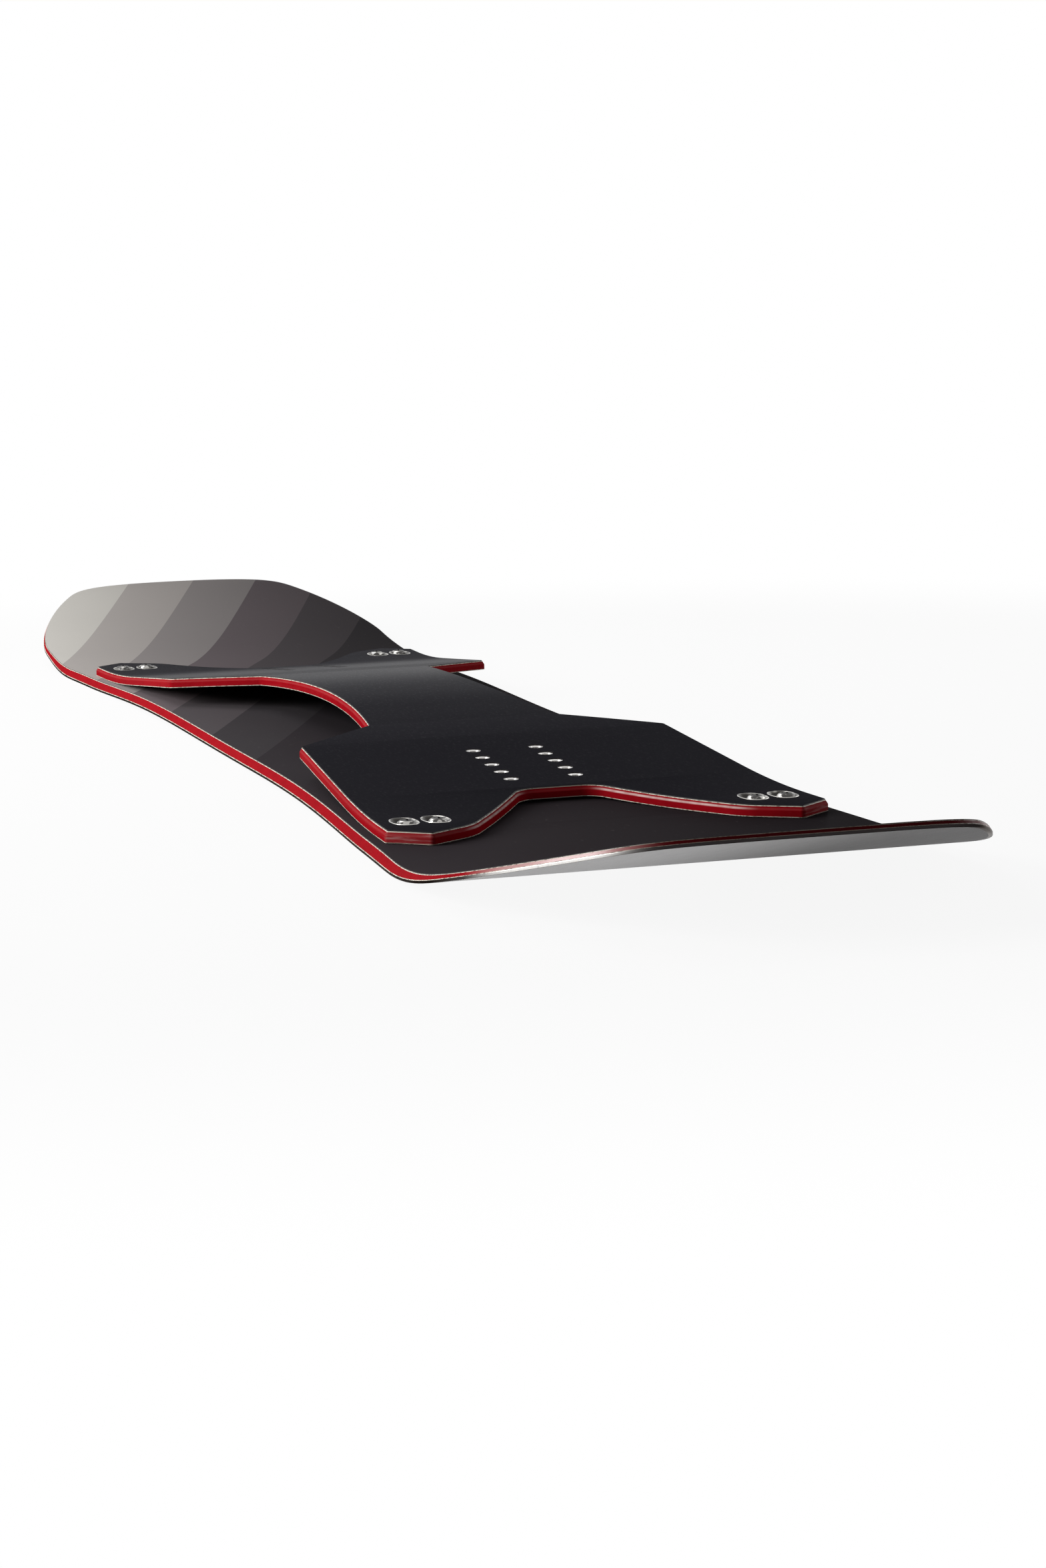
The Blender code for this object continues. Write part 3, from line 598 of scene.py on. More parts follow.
@dataclass(frozen=True)
class RedWall:
    """Red side wall with machining streaks, painted highlight and shade on the board's rim, and a painted
    highlight line and scratches on the deck's wings.
    """

    name: str
    tone: Colour = (0.385, 0.0050, 0.0115)
    deep: Colour = (0.270, 0.0030, 0.0075)
    scuff: Colour = (0.62, 0.20, 0.19)
    # Pale colour of the scratches and of the painted highlights.
    worn: Colour = (0.86, 0.60, 0.57)
    # Dark red of the painted shade on the tips' rims.
    painted_shade_tone: Colour = (0.100, 0.004, 0.006)
    streaks: float = 0.06
    roughness: Pair = (0.40, 0.30)
    coat: float = 0.03
    gloss: float = 0.0
    coat_roughness: float = 0.15
    wings: WingWear | None = None
    lines: Grain = Grain(2600, 3, 0.6, (0.05, 1))
    swells: Grain = Grain(42, 4, 0.6, (1, 3), levels=(0.35, 0.75), share=0.55)
    nicks: Grain = Grain(900, 5, 0.7, (0.6, 1), levels=(0.68, 0.78))
    streak_levels: Pair = (0.58, 0.80)
    nick_share: float = 0.30
    painted_shade_share: float = 0.92
    rubbed_share: float = 0.5
    relief: Pair = (0.03 * MM, 0.5)
    nick_matt: float = 0.15
    nick_relief: float = 0.4
    streak_gloss: float = 0.8

    def material(self) -> Material:
        """The finish as a material.

        Returns:
            The material.
        """
        shader = Shader(self.name)
        along, up = shader.mapped(RIM_MAP)
        lines, swells, nicks = shader.grains((along, up), self.lines, self.swells, self.nicks)
        painted_highlight = PAINTED_RIM_LIGHT.painted_highlight(shader)
        colour = shader.blend(swells, self.tone, self.deep)
        scuffs = lines.ramp(*self.streak_levels) * self.streaks + nicks * self.nick_share
        colour = shader.blend(scuffs, colour, self.scuff)
        # Painted shade: the red darkens towards the outer rims of the tips.
        colour = shader.blend(PAINTED_RIM_LIGHT.painted_shade(shader) * self.painted_shade_share, colour, self.painted_shade_tone)
        # Painted highlight: the board's wall turns pale at its rim corners.
        if self.gloss:
            colour = shader.blend(painted_highlight * self.rubbed_share, colour, self.worn)
        # Painted highlight along the bevel of the deck's wall, and scratches at its wing corners.
        if self.wings:
            for share in self.wings.shares(shader, along, up):
                colour = shader.blend(share, colour, self.worn)
        return shader.surface({
            "Base Color": colour,
            "Roughness": lines.vary(*self.roughness) + nicks * self.nick_matt,
            "Specular IOR Level": 0.0,
            "Coat Weight": (painted_highlight * self.gloss + self.coat) * lines.vary(1.0, self.streak_gloss),
            "Coat Roughness": self.coat_roughness,
            "Normal": shader.bump(lines.mixed(nicks, self.nick_relief), *self.relief),
        })


@dataclass(frozen=True)
class GlassEdge:
    """Cut edge of a cream glass laminate, slightly frayed, darkened by painted shade on the outer rims of the
    tips.
    """

    tone: Colour = (0.62, 0.52, 0.40)
    pale: Colour = (0.86, 0.80, 0.70)
    # Dark colour of the real chips and of the painted shade at the tips.
    dirt_and_shade: Colour = (0.075, 0.045, 0.030)
    fibres: Grain = Grain(1900, 4, 0.65, (0.12, 1.6))
    tows: Grain = Grain(330, 3, 0.6, (1, 0.2), levels=(0.55, 0.75), share=0.35)
    chips: Grain = Grain(340, 5, 0.75, (0.7, 1.3), levels=(0.49, 0.58))
    fibre_levels: Pair = (0.35, 0.65)
    dirt_and_shade_share: float = 0.75
    smoothest: float = 0.42
    relief: Pair = (0.06 * MM, 0.6)
    chip_matt: float = 0.3
    chip_relief: float = 0.4

    def material(self) -> Material:
        """The finish as a material.

        Returns:
            The material.
        """
        shader = Shader("glass_laminate")
        along, up = shader.mapped(RIM_MAP)
        fibres, tows, chips = shader.grains((along, up), self.fibres, self.tows, self.chips)
        colour = shader.blend(fibres.ramp(*self.fibre_levels), self.tone, self.pale)
        colour = shader.blend(tows + chips * self.dirt_and_shade_share, colour, self.dirt_and_shade)
        return shader.surface({
            # Painted shade: the line darkens towards the outer rims of the tips.
            "Base Color": shader.blend(PAINTED_RIM_LIGHT.painted_shade(shader) * self.dirt_and_shade_share, colour, self.dirt_and_shade),
            "Roughness": chips * self.chip_matt + self.smoothest,
            "Specular IOR Level": 0.35,
            "Normal": shader.bump(fibres.mixed(chips, self.chip_relief), *self.relief),
        })


@dataclass(frozen=True)
class GroundSteel:
    """Ground steel edge with fine lines along it, a dark tone that paints dark reflections, a painted
    highlight at its corners and painted shade on the tips' rims.
    """

    # The dark tone paints the steel's dark reflections; bright is its painted highlight.
    tone: Colour = (0.075, 0.070, 0.068)
    bright: Colour = (0.88, 0.86, 0.83)
    dark: Colour = (0.022, 0.019, 0.019)
    rim_tint: Colour = (0.25, 0.23, 0.22)
    roughness: Pair = (0.24, 0.25)
    lines: Grain = Grain(5200, 2, 0.5, (0.02, 1))
    marks: Grain = Grain(170, 4, 0.65, (1, 0.3), levels=(0.45, 0.80), share=0.35)
    spots: Grain = Grain(520, 5, 0.7, levels=(0.62, 0.74))
    spot_share: float = 0.45
    relief: Pair = (0.015 * MM, 0.6)
    spot_rust: float = 0.35
    stain_matt: float = 0.2

    def material(self) -> Material:
        """The finish as a material.

        Returns:
            The material.
        """
        shader = Shader("ground_steel_edge")
        along, up = shader.mapped(RIM_MAP)
        lines, marks, spots = shader.grains((along, up), self.lines, self.marks, self.spots)
        # Painted shade on the tips' rims joins the real marks and spots.
        stains_and_shade = (marks + spots * self.spot_share).largest(PAINTED_RIM_LIGHT.painted_shade(shader))
        # Painted highlight at the rim corners.
        ground = shader.blend(PAINTED_RIM_LIGHT.painted_highlight(shader), self.tone, self.bright)
        return shader.surface({
            "Base Color": shader.blend(stains_and_shade, ground, self.dark),
            "Metallic": 1.0 - spots * self.spot_rust,
            "Specular Tint": self.rim_tint,
            "Roughness": lines.vary(*self.roughness) + stains_and_shade * self.stain_matt,
            "Normal": shader.bump(lines, *self.relief),
        })


@dataclass(frozen=True)
class GroundBase:
    """Grey running base with a lengthwise ground structure, glossier on its left."""

    tone: Colour = (0.56, 0.545, 0.55)
    light: Colour = (0.70, 0.685, 0.69)
    roughness: Pair = (0.40, 0.2)
    across: Pair = (-90 * MM, 60 * MM)
    gloss: Pair = (0.95, 0.34)
    gloss_roughness: float = 0.35
    grind: Grain = Grain(2600, 3, 0.6, (0.012, 1, 1))
    broad: Grain = Grain(160, 3, 0.55, (0.05, 1, 1))
    cloud: Grain = Grain(12, 3)
    grind_levels: Pair = (0.35, 0.68)
    broad_levels: Pair = (0.4, 0.7)
    broad_share: float = 0.3
    cloudy: float = 0.12
    relief: Pair = (0.03 * MM, 0.5)

    def material(self) -> Material:
        """The finish as a material.

        Returns:
            The material.
        """
        shader = Shader("running_base")
        x, y, z = shader.place()
        grind, broad, cloud = shader.grains((x, y, z), self.grind, self.broad, self.cloud)
        pale = grind.ramp(*self.grind_levels).mixed(broad.ramp(*self.broad_levels), self.broad_share)
        colour = shader.shaded(shader.blend(pale, self.tone, self.light), cloud.vary(1.0, self.cloudy))
        return shader.surface({
            "Base Color": colour,
            "Roughness": grind.vary(*self.roughness),
            "Specular IOR Level": 0.0,
            "Coat Weight": y.ramp(*self.across, *self.gloss),
            "Coat Roughness": self.gloss_roughness,
            "Normal": shader.bump(grind.mixed(broad, self.broad_share), *self.relief),
        })


STEEL_MARKS = Grain(700, 4, 0.7, levels=(0.60, 0.74))


@dataclass(frozen=True)
class TurnedSteel:
    """Turned and polished steel, with fine rings, darker marks, painted shade in its bore and painted dark
    reflections in patches where patched.
    """

    name: str
    tone: Colour = (0.62, 0.605, 0.59)
    dark: Colour = (0.030, 0.028, 0.028)
    roughness: Pair = (0.20, 0.18)
    bore_radius: float = 0.0
    bore_rim: Pair = (-0.3 * MM, 0.2 * MM)
    patched: float = 0.0
    rings: Grain = Grain(5200)
    patches: Grain = Grain(290, 1, 0.4, levels=(0.41, 0.52))
    mark_share: float = 0.5
    relief: Pair = (0.01 * MM, 0.5)
    mark_matt: float = 0.15
    bore_matt: float = 0.2

    def material(self) -> Material:
        """The finish as a material.

        Returns:
            The material.
        """
        shader = Shader(self.name)
        radius, height = shader.mapped(TURNED_MAP)
        rings = shader.grain(self.rings, radius, height)
        marks, patches = shader.grains(shader.place(), STEEL_MARKS, self.patches)
        # Painted shade inside the bore.
        inside = 1.0 - radius.ramp(*(self.bore_radius + step for step in self.bore_rim))
        # Painted dark reflections in patches, on the pieces that are patched.
        shade = (marks * self.mark_share).largest(inside).largest(patches * self.patched)
        return shader.surface({
            "Base Color": shader.blend(shade, self.tone, self.dark),
            "Metallic": 1.0,
            "Roughness": rings.vary(*self.roughness) + marks * self.mark_matt + inside * self.bore_matt,
            "Normal": shader.bump(rings, *self.relief),
        })


@dataclass(frozen=True)
class PressedSteel:
    """Pressed steel of the cups: bright rolled rim, and a dish darkened towards its slot by painted shade,
    with painted highlights in patches.
    """

    bright: Colour = (0.78, 0.76, 0.72)
    # Dark tone of the painted shade in the dish.
    dull: Colour = (0.030, 0.028, 0.026)
    rim: Pair = (7.0 * MM, 7.4 * MM)
    dish: Pair = (4.2 * MM, 7.0 * MM)
    roughness: Pair = (0.18, 0.15)
    patches: Grain = Grain(190, 1, 0.4, levels=(0.42, 0.60), share=0.50)
    drawn: Grain = Grain(3000, stretch=(0.2, 1))
    mark_share: float = 0.5
    rolled_share: float = 0.5
    darkest: float = 0.06
    relief: Pair = (0.01 * MM, 0.5)
    mark_matt: float = 0.15

    def material(self) -> Material:
        """The finish as a material.

        Returns:
            The material.
        """
        shader = Shader("pressed_cup_steel")
        along, outwards = shader.mapped(RIM_MAP)
        rolled = outwards.ramp(*self.rim)
        marks, patches = shader.grains(shader.place(), STEEL_MARKS, self.patches)
        drawn = shader.grain(self.drawn, along, outwards)
        # Painted shade darkens the dish towards its slot; its patches are painted highlights.
        dish = outwards.ramp(*self.dish) * (patches + self.darkest)
        colour = shader.blend(dish.largest(rolled * self.rolled_share), self.dull, self.bright)
        return shader.surface({
            "Base Color": shader.blend(marks * self.mark_share, colour, self.dull),
            "Metallic": 1.0,
            "Roughness": drawn.vary(*self.roughness) + (1.0 - rolled + marks) * self.mark_matt,
            "Normal": shader.bump(drawn, *self.relief),
        })


@dataclass(frozen=True)
class CoreWood:
    """Wood core glued up from lengthwise strips."""

    strip_width: float = 14 * MM
    pale: Colour = (0.58, 0.41, 0.24)
    brown: Colour = (0.40, 0.25, 0.13)
    grain: Grain = Grain(520, 4, 0.6, (0.06, 1, 1))
    pores: Grain = Grain(1500, stretch=(0.15, 1, 1))
    grain_levels: Pair = (0.4, 0.65)
    smoothest: float = 0.55
    relief: Pair = (0.06 * MM, 0.6)
    grain_share: float = 0.5
    pore_share: float = 0.5
    pore_matt: float = 0.15

    def material(self) -> Material:
        """The finish as a material.

        Returns:
            The material.
        """
        shader = Shader("wood_core_strips")
        x, y, z = shader.place()
        strips = shader.node("ShaderNodeTexWhiteNoise", noise_dimensions="1D")
        shader.feed(strips.inputs["W"], (y / self.strip_width).floor())
        own = Value(shader, strips.outputs["Value"])
        grain = shader.grain(self.grain, x, y + own, z)
        pores = shader.grain(self.pores, x, y, z)
        browned = own.mixed(grain.ramp(*self.grain_levels), self.grain_share)
        return shader.surface({
            "Base Color": shader.blend(browned, self.pale, self.brown),
            "Roughness": pores * self.pore_matt + self.smoothest,
            "Specular IOR Level": 0.3,
            "Normal": shader.bump(grain.mixed(pores, self.pore_share), *self.relief),
        })


@dataclass(frozen=True)
class ZincPlate:
    """Zinc-plated steel of the parts inside the board."""

    tone: Colour = (0.52, 0.53, 0.54)
    shade: Colour = (0.34, 0.35, 0.37)
    spangle: Grain = Grain(420, cells=True)
    fine: Grain = Grain(1600, 3, 0.6)
    spangle_levels: Pair = (0.2, 0.8)
    smoothest: float = 0.34
    relief: Pair = (0.02 * MM, 0.4)
    grey_matt: float = 0.14

    def material(self) -> Material:
        """The finish as a material.

        Returns:
            The material.
        """
        shader = Shader("zinc_plate")
        spangle, fine = shader.grains(shader.place(), self.spangle, self.fine)
        return shader.surface({
            "Base Color": shader.blend(spangle.ramp(*self.spangle_levels), self.tone, self.shade),
            "Metallic": 1.0,
            "Roughness": fine * self.grey_matt + self.smoothest,
            "Normal": shader.bump(fine, *self.relief),
        })


@dataclass(frozen=True)
class PaleFloor:
    """Pale floor that shows white to the camera and keeps a soft shadow, clear from below."""

    seen_tone: Colour = (0.90, 0.90, 0.90)
    cast_tone: Colour = (0.36, 0.36, 0.36)
    lift: float = 0.91
    shadow_reach: float = 0.80
    white_reach: float = 1.3

    def material(self) -> Material:
        """The finish as a material.

        Returns:
            The material.
        """
        shader = Shader("pale_floor")
        seen = shader.seen()
        tone = shader.blend(seen, self.cast_tone, self.seen_tone)
        matt = shader.node("ShaderNodeBsdfDiffuse", {"Color": tone})
        white = shader.node("ShaderNodeEmission", {"Color": WHITE, "Strength": 1.0})
        away = shader.length(shader.object_point())
        share = seen * away.ramp(self.shadow_reach, self.white_reach, self.lift, 1.0)
        lit = shader.node("ShaderNodeMixShader", {0: share, 1: matt.outputs[0], 2: white.outputs[0]})
        back = shader.node("ShaderNodeNewGeometry").outputs["Backfacing"]
        clear = shader.node("ShaderNodeBsdfTransparent").outputs[0]
        both = shader.node("ShaderNodeMixShader", {0: back, 1: lit.outputs[0], 2: clear})
        return shader.close(both.outputs[0])


@dataclass(frozen=True)
class Finishes:
    """Every finish of the object, each made once."""

    striped: Material = field(default_factory=StripedSheet().material)
    deck_sheet: Material = field(default_factory=DeckSheet().material)
    sheet_cut: Material = field(default_factory=SheetCut().material)
    # The board's wall gets painted highlights at its rim corners.
    red_board: Material = field(default_factory=RedWall("red_sidewall_board", gloss=0.9).material)
    red_deck: Material = field(default_factory=RedWall(
        "red_sidewall_deck", streaks=0.12, wings=WingWear()).material)
    glass: Material = field(default_factory=GlassEdge().material)
    steel_edge: Material = field(default_factory=GroundSteel().material)
    base: Material = field(default_factory=GroundBase().material)
    insert: Material = field(default_factory=TurnedSteel("turned_insert", bore_radius=2.6 * MM).material)
    cup: Material = field(default_factory=PressedSteel().material)
    screw: Material = field(default_factory=TurnedSteel(
        "screw_steel", (0.42, 0.41, 0.39), roughness=(0.18, 0.18), bore_radius=3.9 * MM,
        patched=0.9).material)
    wood: Material = field(default_factory=CoreWood().material)
    zinc: Material = field(default_factory=ZincPlate().material)


# Making pieces

def linked(name: str, data: bpy.types.ID) -> Object:
    """New object in the scene.

    Args:
        name: Its name.
        data: Its mesh, lamp or camera.

    Returns:
        The object.
    """
    made = bpy.data.objects.new(name, data)
    bpy.context.scene.collection.objects.link(made)
    return made


def round_off(bm: Mesh, parts: Sequence[object], reach: float, steps: int = 2, corners: bool = False) -> None:
    """Round edges, or corners of a flat outline.

    Args:
        bm: The mesh.
        parts: The edges or corners.
        reach: How far from each of them its rounding starts.
        steps: Faces across the rounding.
        corners: Whether they are corners.
    """
    bmesh.ops.bevel(bm, geom=parts, offset=reach, offset_type="OFFSET", segments=steps, profile=0.5,
                    affect="VERTICES" if corners else "EDGES", material=-1, clamp_overlap=not corners)


def close_ends(bm: Mesh) -> None:
    """Fill the open ends of a mesh, and turn its faces outwards."""
    bmesh.ops.holes_fill(bm, edges=[edge for edge in bm.edges if edge.is_boundary])
    bmesh.ops.recalc_face_normals(bm, faces=bm.faces)


def write_map(bm: Mesh, name: str, read: Callable[[bmesh.types.BMVert], Pair]) -> None:
    """Give a mesh a map of its own.

    Args:
        bm: The mesh.
        name: Name of the map.
        read: Finds the two numbers of a vertex.
    """
    uv = bm.loops.layers.uv.new(name)
    for face in bm.faces:
        for loop in face.loops:
            loop[uv].uv = read(loop.vert)


def swept(rings: Sequence[Sequence[Vector]], lengths: Sequence[float], heights: Sequence[Sequence[float]],
          rounded: Mapping[int, float] | None = None) -> Mesh:
    """Closed solid through a row of sections with the same number of corners.

    Args:
        rings: Corners of each section.
        lengths: Length along the rim at each section, for the rim map.
        heights: Height of each corner of each section, for the rim map.
        rounded: Rounding of the long edge at each corner that has one.

    Returns:
        The solid.
    """
    last = len(rings) - 1
    corners = len(rings[0])
    bm = bmesh.new()
    bmesh.ops.create_grid(bm, x_segments=last, y_segments=corners, size=1.0)
    layer = bm.verts.layers.int.new("corner")
    place = {}
    for vert in bm.verts:
        station = round((vert.co.x + 1) / 2 * last)
        corner = round((vert.co.y + 1) / 2 * corners) % corners
        vert[layer] = corner
        place[vert] = (station, corner)
    write_map(bm, RIM_MAP, lambda vert: (lengths[place[vert][0]], heights[place[vert][0]][place[vert][1]]))
    for vert, (station, corner) in place.items():
        vert.co = rings[station][corner]
    bmesh.ops.remove_doubles(bm, verts=bm.verts, dist=MERGE)
    close_ends(bm)
    for corner, radius in (rounded or {}).items():
        along = [edge for edge in bm.edges if all(vert[layer] == corner for vert in edge.verts)]
        round_off(bm, along, radius)
    return bm


def turned(profile: Sequence[Pair], steps: int) -> Mesh:
    """Solid of revolution about Z.

    Args:
        profile: Radius and height of each point of a line that starts and ends on the axis.
        steps: Faces round the axis.

    Returns:
        The solid, with its radius and height as a map.
    """
    bm = bmesh.new()
    line = [bm.verts.new((radius, 0.0, height)) for radius, height in profile]
    edges = [bm.edges.new(pair) for pair in zip(line, line[1:])]
    bmesh.ops.spin(bm, geom=line + edges, cent=(0, 0, 0), axis=(0, 0, 1), angle=math.tau,
                   steps=steps, use_merge=True, use_duplicate=False)
    bmesh.ops.remove_doubles(bm, verts=bm.verts, dist=MERGE)
    bmesh.ops.recalc_face_normals(bm, faces=bm.faces)
    write_map(bm, TURNED_MAP, lambda vert: (vert.co.xy.length, vert.co.z))
    return bm


def copied(source: Mesh, place: Matrix) -> Mesh:
    """Copy of a mesh at another place.

    Args:
        source: The mesh, which stays as it is.
        place: Where the copy goes.

    Returns:
        The copy.
    """
    copy = source.copy()
    bmesh.ops.transform(copy, matrix=place, verts=copy.verts)
    return copy


def solid_object(name: str, bm: Mesh, move: bool = True) -> Object:
    """Object of a mesh, moved from the drawing's frame to the object's.

    Args:
        name: Name of the object.
        bm: Its mesh, which is used up.
        move: Whether the mesh is drawn in the drawing's frame.

    Returns:
        The object.
    """
    if move:
        bmesh.ops.translate(bm, vec=(SHIFT, 0.0, 0.0), verts=bm.verts)
    mesh = bpy.data.meshes.new(name)
    bm.to_mesh(mesh)
    bm.free()
    return linked(name, mesh)


def pierce(piece: Object, tools: Iterable[Object]) -> None:
    """Cut other objects out of one.

    Args:
        piece: The object that is cut.
        tools: The objects whose space it loses.
    """
    for tool in tools:
        cut = piece.modifiers.new("holes", "BOOLEAN")
        cut.operation = "DIFFERENCE"
        cut.solver = "EXACT"
        cut.object = tool
        graph = bpy.context.evaluated_depsgraph_get()
        mesh = bpy.data.meshes.new_from_object(piece.evaluated_get(graph))
        if not mesh.polygons:
            raise ValueError(f"nothing is left of {piece.name}")
        piece.modifiers.clear()
        old = piece.data
        piece.data = mesh
        bpy.data.meshes.remove(old)


def discard(tools: Iterable[Object]) -> None:
    """Remove objects that only shaped others."""
    for tool in tools:
        bpy.data.objects.remove(tool)


def dress(piece: Object, slot: Slot, stands_for: Iterable[str], *materials: Material) -> Object:
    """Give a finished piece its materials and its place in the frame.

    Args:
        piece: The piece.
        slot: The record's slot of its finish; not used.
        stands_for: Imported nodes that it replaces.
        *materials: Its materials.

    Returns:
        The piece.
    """
    piece.data.materials.clear()
    for material in materials:
        piece.data.materials.append(material)
    piece.data.shade_smooth()
    piece.data.set_sharp_from_angle(angle=CREASE)
    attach(piece, BODY)
    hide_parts(*stands_for)
    log.info("%s: %d faces", piece.name, len(piece.data.polygons))
    return piece


def cut_sides(sheet: Object) -> None:
    """Give the upright faces of a sheet the second of its materials."""
    for polygon in sheet.data.polygons:
        polygon.material_index = int(abs(polygon.normal.z) < UPRIGHT)


def cylinders(name: str, radius: float, low: float, high: float, places: Iterable[Matrix]) -> Object:
    """Tool with a round solid at each of several places.

    Args:
        name: Name of the tool.
        radius: Radius of the solids.
        low: Height of their undersides.
        high: Height of their tops.
        places: Where they stand.

    Returns:
        The tool.
    """
    bm = bmesh.new()
    lift = Matrix.Translation((0.0, 0.0, (low + high) / 2))
    for place in places:
        bmesh.ops.create_cone(bm, cap_ends=True, segments=ROUND_STEPS, radius1=radius, radius2=radius,
                              depth=high - low, matrix=place @ lift)
    return solid_object(name, bm)


# Lower board

@dataclass(frozen=True)
class Tip:
    """Plan curve of one tip, and its rise that eases into a slope."""

    reach: float
    widest: Pair
    widest_handle: float
    shoulder: Pair
    shoulder_slope: float
    shoulder_handles: Pair
    end_handle: float
    rise_slope: float
    rise_blend: float

    def rise(self, past: float) -> float:
        """Height gained at a distance past the start of the rise."""
        return self.rise_slope * (math.hypot(past, self.rise_blend) - self.rise_blend)


@dataclass(frozen=True)
class BoardShape:
    """Plan and side view of the lower board."""

    tail: Tip = Tip(
        reach=769.4 * MM, widest=(607 * MM, 147.9 * MM), widest_handle=39.2 * MM,
        shoulder=(734.4 * MM, 102.1 * MM), shoulder_slope=0.584,
        shoulder_handles=(39.9 * MM, 33.7 * MM), end_handle=71.3 * MM,
        rise_slope=0.291, rise_blend=136.7 * MM)
    nose: Tip = Tip(
        reach=785.4 * MM, widest=(606 * MM, 145.6 * MM), widest_handle=38.1 * MM,
        shoulder=(749.4 * MM, 104.7 * MM), shoulder_slope=0.565,
        shoulder_handles=(45.3 * MM, 22.9 * MM), end_handle=84.2 * MM,
        rise_slope=0.259, rise_blend=128.4 * MM)
    waist: float = 127 * MM
    sidecut_radius: float = 7.8
    sidecut_end: float = 520 * MM
    sidecut_steps: int = 26
    curve_steps: tuple[int, int, int] = (9, 16, 26)
    contact: float = 430 * MM
    camber_middle: float = 1.2 * MM
    camber_under_feet: float = 15.5 * MM
    rise_start: float = 500 * MM
    thickness: float = 7.2 * MM
    tip_thickness: float = 4.0 * MM
    taper: Pair = (480 * MM, 660 * MM)
    spacer_start: float = 515 * MM
    edge_height: float = 1.45 * MM
    slant: float = 0.6

    def sidecut(self, x: float) -> Pair:
        """Point of the waist's long curve."""
        return x, self.waist + x * x / (2 * self.sidecut_radius)

    def quarter(self, tip: Tip) -> list[Pair]:
        """One quarter of the outline, from the waist to a tip.

        Args:
            tip: The tip.

        Returns:
            Its points, with X and Y positive.
        """
        places = [self.sidecut_end * step / self.sidecut_steps for step in range(self.sidecut_steps)]
        points = [self.sidecut(x) for x in sorted((*places, self.spacer_start))]
        end = self.sidecut(self.sidecut_end)
        wide_x, wide_y = tip.widest
        third = (wide_x - end[0]) / 3
        before, after = tip.shoulder_handles
        x, y = tip.shoulder
        spans = (
            (end, (end[0] + third, end[1] + third * end[0] / self.sidecut_radius),
             (wide_x - third, wide_y), tip.widest),
            (tip.widest, (wide_x + tip.widest_handle, wide_y),
             (x - before, y + before * tip.shoulder_slope), tip.shoulder),
            (tip.shoulder, (x + after, y - after * tip.shoulder_slope),
             (tip.reach, tip.end_handle), (tip.reach, 0.0)),
        )
        for span, steps in zip(spans, self.curve_steps):
            knots = [Vector((*point, 0.0)) for point in span]
            points.extend((point.x, point.y) for point in interpolate_bezier(*knots, steps + 1)[:-1])
        return [*points, (tip.reach, 0.0)]

    def side(self) -> list[Vector]:
        """Outline of the Y > 0 side, from the nose to the tail."""
        nose = [Vector((-x, y)) for x, y in self.quarter(self.nose)[1:]]
        return nose[::-1] + [Vector(point) for point in self.quarter(self.tail)]

    def base(self, x: float) -> float:
        """Height of the running base over the floor.

        Args:
            x: Place along the board.

        Returns:
            The height.
        """
        q = min((abs(x) / self.contact) ** 2, 1.0)
        camber = (self.camber_middle + self.camber_under_feet * q) * (1 - q) ** 2
        tip = self.tail if x > 0 else self.nose
        return camber + tip.rise(max(abs(x) - self.rise_start, 0.0))

    def depth(self, x: float) -> float:
        """Thickness of the board, thinner towards the tips.

        Args:
            x: Place along the board.

        Returns:
            The thickness.
        """
        start, end = self.taper
        t = min(max((abs(x) - start) / (end - start), 0.0), 1.0)
        return self.thickness + (self.tip_thickness - self.thickness) * t * t * (3 - 2 * t)


